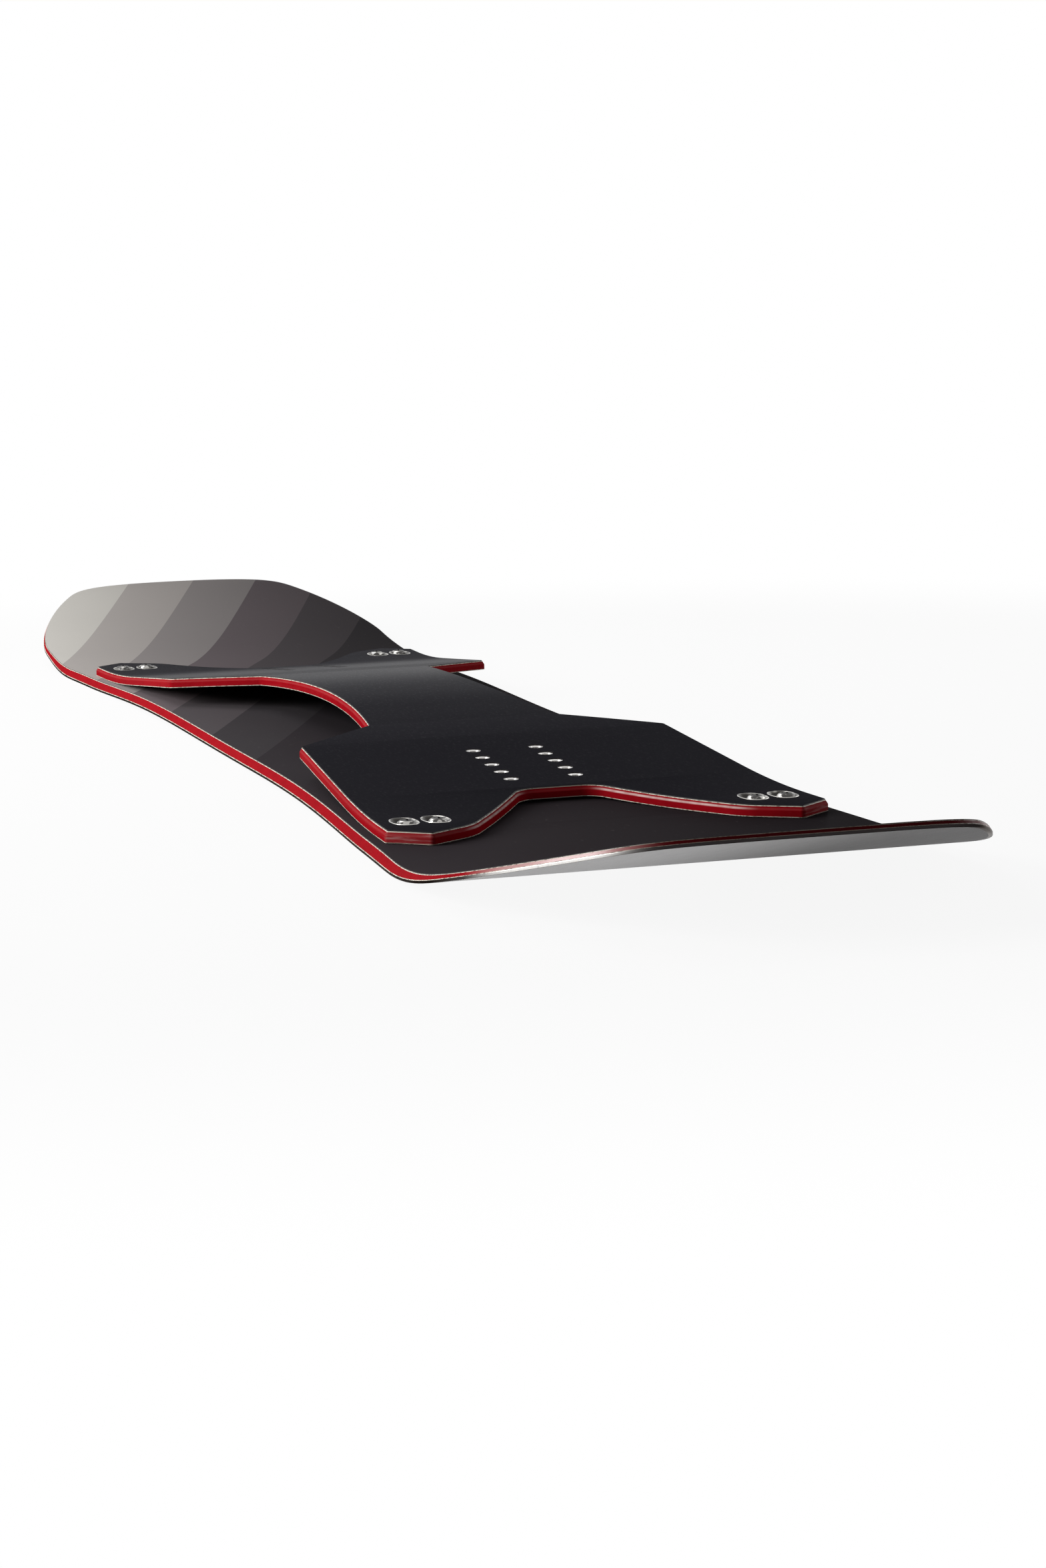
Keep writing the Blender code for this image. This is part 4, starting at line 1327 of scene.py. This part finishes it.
@dataclass
class LowerBoard:
    """The snowboard itself: base, steel edges, laminates, side walls, spacers and topsheet."""

    finishes: Finishes
    shape: BoardShape = field(default_factory=BoardShape)
    base_thickness: float = 1.0 * MM
    base_play: float = 0.03 * MM
    edge_width: float = 2.2 * MM
    flange_reach: float = 6.0 * MM
    flange_under: float = 1.2 * MM
    edge_rounding: Pair = (0.12 * MM, 0.10 * MM)
    edge_joint: float = 0.06 * MM
    glass: float = 0.42 * MM
    glass_share: float = 0.085
    sheet: float = 0.35 * MM
    sheet_rounding: float = 0.1 * MM
    wall_width: float = 12 * MM
    twin_insert_radius: float = 4.75 * MM
    hole_reach: Pair = (-2 * MM, 1 * MM)

    def __post_init__(self) -> None:
        """Work out the outline, its inward normals and the length along it from the waist."""
        self.line = self.shape.side()
        self.whole = range(len(self.line))
        self.middle = len(self.line) // 2
        chords = [after - before for before, after in zip(self.line, self.line[2:])]
        inwards = [Vector((chord.y, -chord.x)).normalized() for chord in chords]
        self.normals = [Vector((1.0, 0.0)), *inwards, Vector((-1.0, 0.0))]
        steps = [(after - before).length for before, after in zip(self.line, self.line[1:])]
        way = list(accumulate(steps, initial=0.0))
        self.lengths = [abs(length - way[self.middle]) for length in way]

    def laminate(self, x: float) -> float:
        """Thickness of a glass laminate at one place along the board."""
        return min(self.glass, self.shape.depth(x) * self.glass_share)

    def over_base(self, height: float, laminates: int = 0) -> Level:
        """Level at a height over the base, with some laminates more."""
        return lambda x: height + laminates * self.laminate(x)

    def under_top(self, depth: float, laminates: int = 0) -> Level:
        """Level at a depth under the top, with some laminates more."""
        return lambda x: self.shape.depth(x) - depth - laminates * self.laminate(x)

    def core_levels(self) -> tuple[Level, Level]:
        """Underside and top of the pieces between the two laminates."""
        return self.over_base(self.shape.edge_height, 1), self.under_top(self.sheet, 1)

    def point(self, index: int, hand: int, height: float, extra: float = 0.0) -> Vector:
        """Point of the slanted side.

        Args:
            index: Place along the outline.
            hand: Sign of Y.
            height: Height over the running base.
            extra: How much further in the point lies.

        Returns:
            The point.
        """
        inset = self.shape.slant * max(height - self.shape.edge_height, 0.0) + extra
        place = self.line[index] + self.normals[index] * inset
        return Vector((place.x, hand * max(place.y, 0.0), self.shape.base(place.x) + height))

    def plate(self, low: Level, high: Level, spans: Sequence[int], extra: float = 0.0,
              rounding: float = 0.0) -> Mesh:
        """Sheet of the whole width between two levels.

        Args:
            low: Level of its underside.
            high: Level of its top.
            spans: Places along the outline that it covers.
            extra: How much further in its edge lies.
            rounding: Rounding of its upper rim.

        Returns:
            The sheet.
        """
        rings, heights = [], []
        for index in spans:
            x = self.line[index].x
            levels = (low(x), low(x), high(x), high(x))
            rings.append([self.point(index, hand, level, extra)
                          for hand, level in zip((-1, 1, 1, -1), levels)])
            heights.append(levels)
        lengths = [self.lengths[index] for index in spans]
        return swept(rings, lengths, heights, {2: rounding, 3: rounding} if rounding else None)

    def build_base(self) -> None:
        """Running base inside the steel edges."""
        bm = self.plate(self.over_base(0.0), self.over_base(self.base_thickness), self.whole,
                        self.edge_width + self.base_play)
        nodes = ("base_sheet_nose", "base_sheet_middle", "base_sheet_tail")
        dress(solid_object("running_base", bm), Slot.BASE, nodes, self.finishes.base)

    def build_edges(self) -> None:
        """Steel edges that wrap the two ends and meet at the waist."""
        top = self.shape.edge_height
        profile = (
            (0.0, 0.0), (self.edge_width, 0.0), (self.edge_width, self.flange_under),
            (self.flange_reach, self.flange_under), (self.flange_reach, top), (0.0, top),
        )
        for end in End:
            last = 0 if end is End.NOSE else len(self.line) - 1
            half = list(range(self.middle, last, end.value))
            walk = [(index, -1) for index in half] + [(last, 1)] + [(index, 1) for index in half[::-1]]
            rings = [[self.point(index, hand, height, inset) for inset, height in profile]
                     for index, hand in walk]
            for point in rings[0] + rings[-1]:
                point.x = end.value * self.edge_joint / 2
            lengths = [self.lengths[index] for index, _ in walk]
            heights = [[height + inset for inset, height in profile]] * len(walk)
            bm = swept(rings, lengths, heights, dict(zip((0, len(profile) - 1), self.edge_rounding)))
            dress(solid_object(f"edge_wrap_{end.word}", bm), Slot.STEEL_EDGE, [f"steel_edge_{end.word}"],
                  self.finishes.steel_edge)

    def build_laminates(self) -> Object:
        """Glass laminates under and over the core.

        Returns:
            The upper laminate.
        """
        top = self.shape.edge_height
        lower = self.plate(self.over_base(top), self.over_base(top, 1), self.whole)
        dress(solid_object("glass_sheet_lower", lower), Slot.LAMINATE, ["lower_laminate"],
              self.finishes.glass)
        upper = self.plate(self.under_top(self.sheet, 1), self.under_top(self.sheet), self.whole)
        return dress(solid_object("glass_sheet_upper", upper), Slot.LAMINATE, ["upper_laminate"],
                     self.finishes.glass)

    def build_walls(self) -> None:
        """Red side walls between the tips."""
        low, high = self.core_levels()
        spans = [index for index, point in enumerate(self.line)
                 if abs(point.x) <= self.shape.spacer_start + MERGE]
        for hand in Hand:
            rings, heights = [], []
            for index in spans:
                x = self.line[index].x
                levels = (low(x), high(x), high(x), low(x))
                insets = (0.0, 0.0, self.wall_width, self.wall_width)
                rings.append([self.point(index, hand.value, *corner) for corner in zip(levels, insets)])
                heights.append(levels)
            bm = swept(rings, [self.lengths[index] for index in spans], heights)
            dress(solid_object(f"red_wall_{hand.word}", bm), Slot.RED_SIDEWALL, [f"sidewall_{hand.word}"],
                  self.finishes.red_board)

    def build_spacers(self) -> None:
        """Red spacers that fill the two tips."""
        for end in End:
            spans = [index for index, point in enumerate(self.line)
                     if point.x * end.value >= self.shape.spacer_start - MERGE]
            bm = self.plate(*self.core_levels(), spans)
            dress(solid_object(f"red_tip_{end.word}", bm), Slot.RED_SIDEWALL, [f"tip_spacer_{end.word}"],
                  self.finishes.red_board)

    def build_sheet(self) -> Object:
        """Striped topsheet.

        Returns:
            The topsheet.
        """
        bm = self.plate(self.under_top(self.sheet), self.under_top(0.0), self.whole,
                        rounding=self.sheet_rounding)
        piece = dress(solid_object("striped_sheet", bm), Slot.TOPSHEET, ["topsheet"],
                      self.finishes.striped, self.finishes.sheet_cut)
        cut_sides(piece)
        return piece

    def build(self) -> None:
        """Build and dress the board, and open it over the inserts that the deck's screws turn into."""
        self.build_base()
        self.build_edges()
        self.build_walls()
        self.build_spacers()
        layers = (self.build_laminates(), self.build_sheet())
        places = [Matrix.Translation((end.value * SCREW_X, hand.value * y, 0.0))
                  for end in End for hand in Hand for y in SCREW_Y]
        low, high = (self.shape.thickness + reach for reach in self.hole_reach)
        tool = cylinders("twin_insert_holes", self.twin_insert_radius, low, high, places)
        for layer in layers:
            pierce(layer, [tool])
        discard([tool])


# Upper deck

@dataclass(frozen=True)
class DeckShape:
    """Plan and side view of the arched deck."""

    corners: tuple[tuple[float, float, float, int], ...] = (
        (355.5 * MM, 22.5 * MM, 14 * MM, 8),
        (453.5 * MM, 78.0 * MM, 40 * MM, 10),
        (474.3 * MM, 108.3 * MM, 3 * MM, 5),
        (455.0 * MM, 130.6 * MM, 3 * MM, 5),
        (205.4 * MM, 119.6 * MM, 5 * MM, 6),
        (155.0 * MM, 63.4 * MM, 3 * MM, 4),
    )
    smallest_corner: float = 1.0 * MM
    waist: float = 53.5 * MM
    waist_steps: int = 12
    under: float = 7.5 * MM
    thickness: float = 7.0 * MM
    rise: float = 25.1 * MM
    half_span: float = 430 * MM
    fullness: float = 0.17
    binding_flat: Pair = (240 * MM, 335 * MM)
    blend_start: float = 180 * MM
    slope_step: float = 0.1 * MM
    bend_pitch: float = 10 * MM

    def curve(self, x: float) -> float:
        """Rise of a beam that is held flat at both ends."""
        q = min((x / self.half_span) ** 2, 1.0)
        return self.rise * (1 - q) ** 2 * (1 + self.fullness * q)

    def flat_slope(self) -> float:
        """Slope of the flat places under the bindings."""
        start, end = self.binding_flat
        return (self.curve(end) - self.curve(start)) / (end - start)

    def arch(self, x: float) -> float:
        """Rise of the deck: a beam's curve that eases into a flat slope and then into the wings.

        Args:
            x: Place along the board.

        Returns:
            The rise.
        """
        reach = abs(x)
        start, end = self.binding_flat
        slope = self.flat_slope()
        if reach <= self.blend_start:
            return self.curve(reach)
        if reach <= start:
            step = self.slope_step
            before = (self.curve(self.blend_start) - self.curve(self.blend_start - step)) / step
            return self._ease(reach, (self.blend_start, self.curve(self.blend_start), before),
                              (start, self.curve(start), slope))
        if reach <= end:
            return self.curve(start) + slope * (reach - start)
        if reach <= self.half_span:
            return self._ease(reach, (end, self.curve(end), slope), (self.half_span, 0.0, 0.0))
        return 0.0

    @staticmethod
    def _ease(x: float, first: Triple, last: Triple) -> float:
        """Cubic between two places with given heights and slopes.

        Args:
            x: Where the curve is read.
            first: Place, height and slope at its start.
            last: Place, height and slope at its end.

        Returns:
            Its height.
        """
        width = last[0] - first[0]
        t = (x - first[0]) / width
        return ((2 * t ** 3 - 3 * t ** 2 + 1) * first[1] + (t ** 3 - 2 * t ** 2 + t) * width * first[2]
                + (3 * t ** 2 - 2 * t ** 3) * last[1] + (t ** 3 - t ** 2) * width * last[2])

    def loop_corners(self) -> list[tuple[float, float, float, int]]:
        """Corners of the whole plan, turning to the left.

        Returns:
            X, Y, radius and steps of each corner.
        """
        x_end, y_end = self.corners[-1][:2]
        quarter = list(self.corners)
        for step in range(1, self.waist_steps):
            share = 1 - step / self.waist_steps
            quarter.append((x_end * share, self.waist + (y_end - self.waist) * share ** 2, 0.0, 0))
        side = [*quarter, (0.0, self.waist, 0.0, 0), *((-x, *rest) for x, *rest in quarter[::-1])]
        return side + [(-x, -y, *rest) for x, y, *rest in side]


@dataclass
class UpperDeck:
    """The arched deck: laminates, red edge ring and black sheet."""

    finishes: Finishes
    shape: DeckShape = field(default_factory=DeckShape)
    glass: float = 0.45 * MM
    bevel_start: float = 3.9 * MM
    wall_top: float = 5.95 * MM
    sheet_under: float = 6.4 * MM
    bevel_width: float = 1.3 * MM
    slope_in: float = 0.3 * MM
    ring_width: float = 7.0 * MM
    joint: float = 0.04 * MM
    wall_rounding: float = 0.25 * MM
    sheet_rounding: float = 0.12 * MM
    map_across: float = 0.7

    def outline(self, bm: Mesh, inset: float, height: float) -> bmesh.types.BMFace:
        """Add the deck's plan as one flat face with rounded corners.

        Args:
            bm: The mesh that gets it.
            inset: How far it is moved in from the red edge.
            height: Its height over the deck's underside.

        Returns:
            The face.
        """
        rows = self.shape.loop_corners()
        places = [Vector(row[:2]) for row in rows]
        level = self.shape.under + height
        verts, rounding = [], []
        for index, place in enumerate(places):
            radius, steps = rows[index][2:]
            before = (place - places[index - 1]).normalized()
            after = (places[(index + 1) % len(places)] - place).normalized()
            inwards = Vector((-before.y, before.x))
            bisector = (inwards + Vector((-after.y, after.x))).normalized()
            moved = place + bisector * (inset / bisector.dot(inwards))
            verts.append(bm.verts.new((*moved, level)))
            if radius:
                convex = before.cross(after) > 0
                radius = max(radius - inset if convex else radius + inset, self.shape.smallest_corner)
                opening = math.pi - before.angle(after)
                rounding.append((verts[-1], radius / math.tan(opening / 2), steps))
        bm.faces.new(verts)
        for vert, reach, steps in rounding:
            round_off(bm, [vert], reach, steps, corners=True)
        return next(face for face in bm.faces if len(face.verts) > len(rows)
                    and abs(face.verts[0].co.z - level) < MERGE)

    def layer(self, levels: Sequence[Pair], ring: bool = False, rounding: float = 0.0) -> Mesh:
        """Solid of the deck through outlines at several levels, bent to the arch.

        Args:
            levels: Inset and height of each outline.
            ring: Whether the last outline joins the first, with no flat faces.
            rounding: Rounding of the edge at the second outline.

        Returns:
            The solid.
        """
        bm = bmesh.new()
        marks = bm.edges.layers.int.new("level")
        loops = []
        for number, (inset, height) in enumerate(levels):
            face = self.outline(bm, inset, height)
            loops.append(list(face.edges))
            for edge in loops[-1]:
                edge[marks] = number + 1
            if ring or 0 < number < len(levels) - 1:
                bmesh.ops.delete(bm, geom=[face], context="FACES_ONLY")
        for first, second in zip(loops, loops[1:] + loops[:1] if ring else loops[1:]):
            bmesh.ops.bridge_loops(bm, edges=first + second)
        bmesh.ops.recalc_face_normals(bm, faces=bm.faces)
        write_map(bm, RIM_MAP, lambda vert: (abs(vert.co.x) + abs(vert.co.y) * self.map_across,
                                             vert.co.z - self.shape.under))
        if rounding:
            round_off(bm, [edge for edge in bm.edges if edge[marks] == 2], rounding)
        self.bend(bm)
        return bm

    @staticmethod
    def slice_at(bm: Mesh, x: float, keep: int = 0) -> None:
        """Cut a solid across the board.

        Args:
            bm: The solid.
            x: Place of the cut.
            keep: Sign of the side of the cut that alone stays, or 0 for both.
        """
        bmesh.ops.bisect_plane(bm, geom=[*bm.verts, *bm.edges, *bm.faces], dist=MERGE, plane_co=(x, 0, 0),
                               plane_no=(keep or 1, 0, 0), clear_inner=bool(keep))

    def bend(self, bm: Mesh) -> None:
        """Cut a flat solid at many places along the board and lift it to the arch.

        Args:
            bm: The solid.
        """
        count = math.floor(self.shape.half_span / self.shape.bend_pitch)
        for step in range(-count, count + 1):
            self.slice_at(bm, step * self.shape.bend_pitch)
        for vert in bm.verts:
            vert.co.z += self.shape.arch(vert.co.x)

    def half(self, bm: Mesh, end: End) -> Mesh:
        """Nose or tail half of a layer, closed at its joint.

        Args:
            bm: The whole layer, which stays as it is.
            end: Which half.

        Returns:
            The half.
        """
        part = bm.copy()
        self.slice_at(part, end.value * self.joint / 2, end.value)
        close_ends(part)
        return part

    def build(self, tools: Iterable[Object]) -> None:
        """Build and dress the deck.

        Args:
            tools: Tools with the holes of the inserts and cups.
        """
        edge = self.bevel_width
        under = solid_object("deck_glass_lower", self.layer(((0.0, 0.0), (0.0, self.glass))))
        dress(under, Slot.LAMINATE, ["deck_lower_laminate"], self.finishes.glass)
        walls = self.layer((
            (0.0, self.glass), (0.0, self.bevel_start), (edge, self.wall_top),
            (self.ring_width, self.wall_top), (self.ring_width, self.glass),
        ), ring=True, rounding=self.wall_rounding)
        for end in End:
            piece = solid_object(f"red_deck_wall_{end.word}", self.half(walls, end))
            dress(piece, Slot.RED_SIDEWALL, [f"deck_sidewall_{end.word}"], self.finishes.red_deck)
        walls.free()
        over = solid_object("deck_glass_upper", self.layer((
            (edge, self.wall_top), (edge + self.slope_in, self.sheet_under))))
        pierce(over, tools)
        dress(over, Slot.LAMINATE, ["deck_upper_laminate"], self.finishes.glass)
        sheet = solid_object("deck_sheet", self.layer((
            (edge + self.slope_in, self.sheet_under), (edge + 2 * self.slope_in, self.shape.thickness),
        ), rounding=self.sheet_rounding))
        pierce(sheet, tools)
        dress(sheet, Slot.DECK_TOPSHEET, ["deck_topsheet"], self.finishes.deck_sheet, self.finishes.sheet_cut)
        cut_sides(sheet)


# Inserts, washers and screws

@dataclass
class BindingInserts:
    """Two groups of flanged threaded inserts in the deck."""

    finishes: Finishes
    shape: DeckShape = field(default_factory=DeckShape)
    spacing_x: float = 20 * MM
    spacing_y: float = 40 * MM
    in_row: int = 5
    group_x: float = 287.2 * MM
    radius: float = 4.7 * MM
    flange_radius: float = 7.5 * MM
    flange: float = 0.8 * MM
    bottom: float = 0.7 * MM
    sink: float = 0.4 * MM
    bore: float = 3.0 * MM
    rim_chamfer: float = 0.12 * MM
    bore_chamfer: float = 0.35 * MM
    thread_depth: float = 0.4 * MM
    thread_pitch: float = 1.0 * MM
    thread_crest: Pair = (0.4, 0.6)
    play: float = 0.04 * MM
    hole_over: float = 1 * MM
    steps: int = 40

    def places(self) -> dict[str, Matrix]:
        """Where the inserts are.

        Returns:
            Name and place of each, square to the sloping deck.
        """
        found = {}
        slope = math.atan(self.shape.flat_slope())
        for end, hand, number in product(End, Hand, range(self.in_row)):
            reach = self.group_x + (number - (self.in_row - 1) / 2) * self.spacing_x
            foot = Vector((end.value * reach, hand.value * self.spacing_y / 2,
                           self.shape.under + self.shape.arch(reach)))
            turn = Matrix.Rotation(-end.value * slope, 4, "Y")
            found[f"{end.word}_{hand.word}_{number + 1}"] = Matrix.Translation(foot) @ turn
        return found

    def hole_tool(self) -> Object:
        """Tool with the holes that the inserts fill."""
        return cylinders("insert_holes", self.radius + self.play, self.bottom + self.flange,
                         self.shape.thickness + self.hole_over, self.places().values())

    def one(self) -> Mesh:
        """One insert, with its axis on Z and its foot at the deck's underside.

        Returns:
            The insert.
        """
        top = self.shape.thickness - self.sink
        floor = self.bottom + self.flange
        inner = self.bore - self.thread_depth
        line = [
            (0.0, self.bottom), (self.flange_radius, self.bottom), (self.flange_radius, floor),
            (self.radius, floor), (self.radius, top - self.rim_chamfer),
            (self.radius - self.rim_chamfer, top), (self.bore + self.bore_chamfer, top),
        ]
        turn = top - self.bore_chamfer
        while turn > floor + self.thread_pitch:
            line.append((self.bore, turn))
            line.extend((inner, turn - self.thread_pitch * share) for share in self.thread_crest)
            turn -= self.thread_pitch
        line.extend(((inner, floor), (0.0, floor)))
        return turned(line, self.steps)

    def build(self) -> None:
        """Build and dress every insert."""
        source = self.one()
        for name, place in self.places().items():
            piece = solid_object(f"threaded_insert_{name}", copied(source, place))
            dress(piece, Slot.INSERT, [f"binding_insert_{name}"], self.finishes.insert)
        source.free()


@dataclass
class DeckFasteners:
    """Raised screws in oval slotted cups that hold the deck's wings."""

    finishes: Finishes
    shape: DeckShape = field(default_factory=DeckShape)
    cup_x: float = 429 * MM
    rim: Triple = (13.5 * MM, 7.9 * MM, 2.4)
    slot: Triple = (8.9 * MM, 3.6 * MM, 3.2)
    cup_section: tuple[Pair, ...] = (
        (0.0, -3.3 * MM), (0.0, -2.9 * MM), (0.06, -2.75 * MM), (0.40, -1.60 * MM), (0.66, -0.55 * MM),
        (0.75, -0.10 * MM), (0.80, 0.12 * MM), (0.87, 0.27 * MM), (0.92, 0.29 * MM), (0.97, 0.20 * MM),
        (1.0, 0.0), (1.0, -0.35 * MM), (0.96, -0.55 * MM), (0.22, -3.3 * MM),
    )
    hole_depth: float = 3 * MM
    shank: float = 3.0 * MM
    shank_chamfer: Pair = (0.6 * MM, 0.5 * MM)
    neck: float = -2.6 * MM
    head: float = 5.6 * MM
    head_sink: float = 0.7 * MM
    head_chamfer: Pair = (0.1 * MM, 0.12 * MM)
    dome: float = 2.1 * MM
    dome_power: float = 0.85
    dome_steps: int = 9
    length: float = 11.2 * MM
    thread_pitch: float = 1.0 * MM
    thread_depth: float = 0.35 * MM
    recess: Triple = (6.4 * MM, 1.3 * MM, 2.6 * MM)
    recess_taper: Pair = (0.55, 0.8)
    recess_over: float = 0.3 * MM
    play: float = 0.04 * MM
    steps: int = 48

    def places(self, reach: float) -> dict[str, Matrix]:
        """Where the fasteners are, on top of the deck.

        Args:
            reach: Their distance from its middle.

        Returns:
            Name and place of each.
        """
        top = self.shape.under + self.shape.thickness
        return {
            f"{end.word}_{hand.word}_{spot}": Matrix.Translation((end.value * reach, hand.value * y, top))
            for end in End for hand in Hand for spot, y in zip(("inner", "outer"), SCREW_Y)
        }

    @staticmethod
    def oval(halves: Triple, angle: float, extra: float = 0.0) -> Vector:
        """Point of an oval.

        Args:
            halves: Half of its length and width, and how much its ends are squared up.
            angle: Where the point lies round it.
            extra: How much larger the oval is.

        Returns:
            The point.
        """
        x, y, fullness = halves
        shares = [math.copysign(abs(share) ** (2 / fullness), share)
                  for share in (math.cos(angle), math.sin(angle))]
        return Vector(((x + extra) * shares[0], (y + extra) * shares[1]))

    def hole_tool(self) -> Object:
        """Tool with the oval holes that the cups fill.

        Returns:
            The tool.
        """
        bm = bmesh.new()
        for place in self.places(self.cup_x).values():
            made = bmesh.ops.create_cone(bm, cap_ends=True, segments=self.steps, radius1=1.0, radius2=1.0,
                                         depth=self.hole_depth)["verts"]
            for vert in made:
                vert.co.xy = self.oval(self.rim, math.atan2(vert.co.y, vert.co.x), self.play)
            bmesh.ops.transform(bm, matrix=place, verts=made)
        return solid_object("cup_holes", bm)

    def cup(self) -> Mesh:
        """One cup: a section that goes from the slot to the rim and back, led round the oval.

        Returns:
            The cup.
        """
        turns = [step / self.steps for step in range(self.steps + 1)]
        rings = []
        for turn in turns:
            slot, rim = (self.oval(halves, math.tau * (turn % 1)) for halves in (self.slot, self.rim))
            rings.append([Vector((*slot.lerp(rim, share), height)) for share, height in self.cup_section])
        lengths = [math.tau * self.rim[1] * turn for turn in turns]
        return swept(rings, lengths, [[share * self.rim[1] for share, _ in self.cup_section]] * len(rings))

    def screw(self) -> Mesh:
        """One raised countersunk screw with a threaded shank.

        Returns:
            The screw.
        """
        rim = -self.head_sink
        root = self.shank - self.thread_depth
        line = [(0.0, -self.length), (self.shank - self.shank_chamfer[0], -self.length)]
        turn = -self.length + self.shank_chamfer[1]
        while turn < self.neck - self.thread_pitch:
            line.extend(((root, turn), (self.shank, turn + self.thread_pitch / 2)))
            turn += self.thread_pitch
        line.extend(((root, turn), (self.shank, self.neck)))
        line.extend(((self.head - self.head_chamfer[0], rim - self.head_chamfer[1]), (self.head, rim)))
        for step in range(1, self.dome_steps):
            angle = step / self.dome_steps * math.pi / 2
            line.append((self.head * math.cos(angle) ** self.dome_power,
                         rim + (self.dome - rim) * math.sin(angle)))
        line.append((0.0, self.dome))
        return turned(line, self.steps)

    def recess_tools(self) -> list[Object]:
        """Tools for the cross recess: two crossed bars that taper downwards.

        Returns:
            The tools.
        """
        length, width, depth = self.recess
        tools = []
        for turn in (0.0, math.pi / 2):
            bm = bmesh.new()
            made = bmesh.ops.create_cube(bm, size=1.0)["verts"]
            lower = [vert for vert in made if vert.co.z < 0]
            bmesh.ops.scale(bm, verts=made, vec=(length, width, depth + self.recess_over))
            bmesh.ops.scale(bm, verts=lower, vec=(*self.recess_taper, 1.0))
            bmesh.ops.translate(bm, verts=made, vec=(0, 0, self.dome - (depth - self.recess_over) / 2))
            bmesh.ops.rotate(bm, verts=made, cent=(0, 0, 0), matrix=Matrix.Rotation(turn, 3, "Z"))
            tools.append(solid_object("cross_recess", bm, move=False))
        return tools

    def build(self) -> None:
        """Build and dress every cup and screw."""
        cup = self.cup()
        blank = solid_object("screw_blank", self.screw(), move=False)
        tools = self.recess_tools()
        pierce(blank, tools)
        screw = bmesh.new()
        screw.from_mesh(blank.data)
        discard([*tools, blank])
        for name, place in self.places(self.cup_x).items():
            piece = solid_object(f"oval_cup_{name}", copied(cup, place))
            dress(piece, Slot.FASTENER, [f"cup_washer_{name}"], self.finishes.cup)
        for name, place in self.places(SCREW_X).items():
            piece = solid_object(f"wing_screw_{name}", copied(screw, place))
            dress(piece, Slot.FASTENER, [f"deck_screw_{name}"], self.finishes.screw)
        cup.free()
        screw.free()


def dress_inside(finishes: Finishes) -> None:
    """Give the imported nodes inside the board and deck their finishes.

    Args:
        finishes: Every finish of the object.
    """
    inside = dict.fromkeys(("wood_core", "deck_core"), finishes.wood)
    inside.update((f"pad_insert_{end.word}_{hand.word}", finishes.zinc) for end in End for hand in Hand)
    for name, material in inside.items():
        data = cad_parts[name].data
        data.materials.clear()
        data.materials.append(material)
        log.info("%s: dressed", name)


# Studio

@dataclass(frozen=True)
class SoftLight:
    """One rectangular soft light."""

    name: str
    place: Triple
    aim: Triple
    size: Pair
    power: float

    def build(self) -> None:
        """Add the light to the scene."""
        lamp = bpy.data.lights.new(self.name, "AREA")
        lamp.shape = "RECTANGLE"
        lamp.size, lamp.size_y = self.size
        lamp.energy = self.power
        made = linked(self.name, lamp)
        towards = Vector(self.aim) - Vector(self.place)
        turn = towards.to_track_quat("-Z", "Y").to_matrix().to_4x4()
        made.matrix_world = Matrix.Translation(self.place) @ turn
        made.visible_camera = False


@dataclass
class Studio:
    """Pale floor, soft light and the camera."""

    floor_size: float = 60.0
    floor_drop: float = 0.05 * MM
    fill: float = 0.09
    lens: float = 79.87
    film: float = 36.0
    clip: Pair = (0.05, 200.0)
    eye: Triple = (2.28960, -0.59793, 0.31290)
    right: Triple = (0.2904186, 0.9565541, -0.0257171)
    up: Triple = (-0.1306823, 0.0662714, 0.9892069)
    lights: tuple[SoftLight, ...] = (
        SoftLight("left_window", (-0.05, -1.75, 0.80), (0.0, 0.0, 0.0), (1.4, 0.9), 33.0),
        SoftLight("right_window", (0.0, 2.0, 0.9), (0.0, 0.0, 0.0), (1.6, 1.0), 7.0),
        SoftLight("ceiling", (-0.9, -0.5, 1.3), (-0.1, 0.0, 0.0), (1.4, 1.0), 10.9),
    )

    def build_floor(self) -> None:
        """Large pale floor just under the board."""
        bm = bmesh.new()
        bmesh.ops.create_grid(bm, x_segments=4, y_segments=4, size=self.floor_size / 2)
        bmesh.ops.translate(bm, verts=bm.verts, vec=(0, 0, -self.floor_drop))
        floor = solid_object("studio_floor", bm, move=False)
        floor.data.materials.append(PaleFloor().material())

    def build_world(self) -> None:
        """White surroundings that light the object evenly and softly."""
        shader = Shader("studio", world=True)
        level = shader.seen().ramp(0.0, 1.0, self.fill, 1.0)
        white = shader.node("ShaderNodeBackground", {"Color": WHITE, "Strength": level})
        bpy.context.scene.world = shader.close(white.outputs[0])

    def build_camera(self) -> None:
        """Camera at the photograph's viewing angle."""
        data = bpy.data.cameras.new("camera")
        data.lens = self.lens
        data.sensor_width = self.film
        data.clip_start, data.clip_end = self.clip
        data.dof.use_dof = False
        camera = linked("camera", data)
        right, up = Vector(self.right), Vector(self.up)
        turn = Matrix((right, up, right.cross(up))).transposed().to_4x4()
        camera.matrix_world = Matrix.Translation(self.eye) @ turn
        bpy.context.scene.camera = camera

    def build(self) -> None:
        """Build the studio."""
        self.build_floor()
        self.build_world()
        for light in self.lights:
            light.build()
        self.build_camera()
        bpy.context.scene.view_settings.view_transform = "Standard"


def main() -> None:
    """Build the dressed board and its studio."""
    logging.basicConfig(level=logging.INFO, format="%(message)s")
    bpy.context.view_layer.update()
    finishes = Finishes()
    inserts = BindingInserts(finishes)
    fasteners = DeckFasteners(finishes)
    log.info("lower board")
    LowerBoard(finishes).build()
    log.info("upper deck")
    tools = (inserts.hole_tool(), fasteners.hole_tool())
    UpperDeck(finishes).build(tools)
    discard(tools)
    inserts.build()
    fasteners.build()
    dress_inside(finishes)
    Studio().build()


if __name__ == "__main__":
    main()
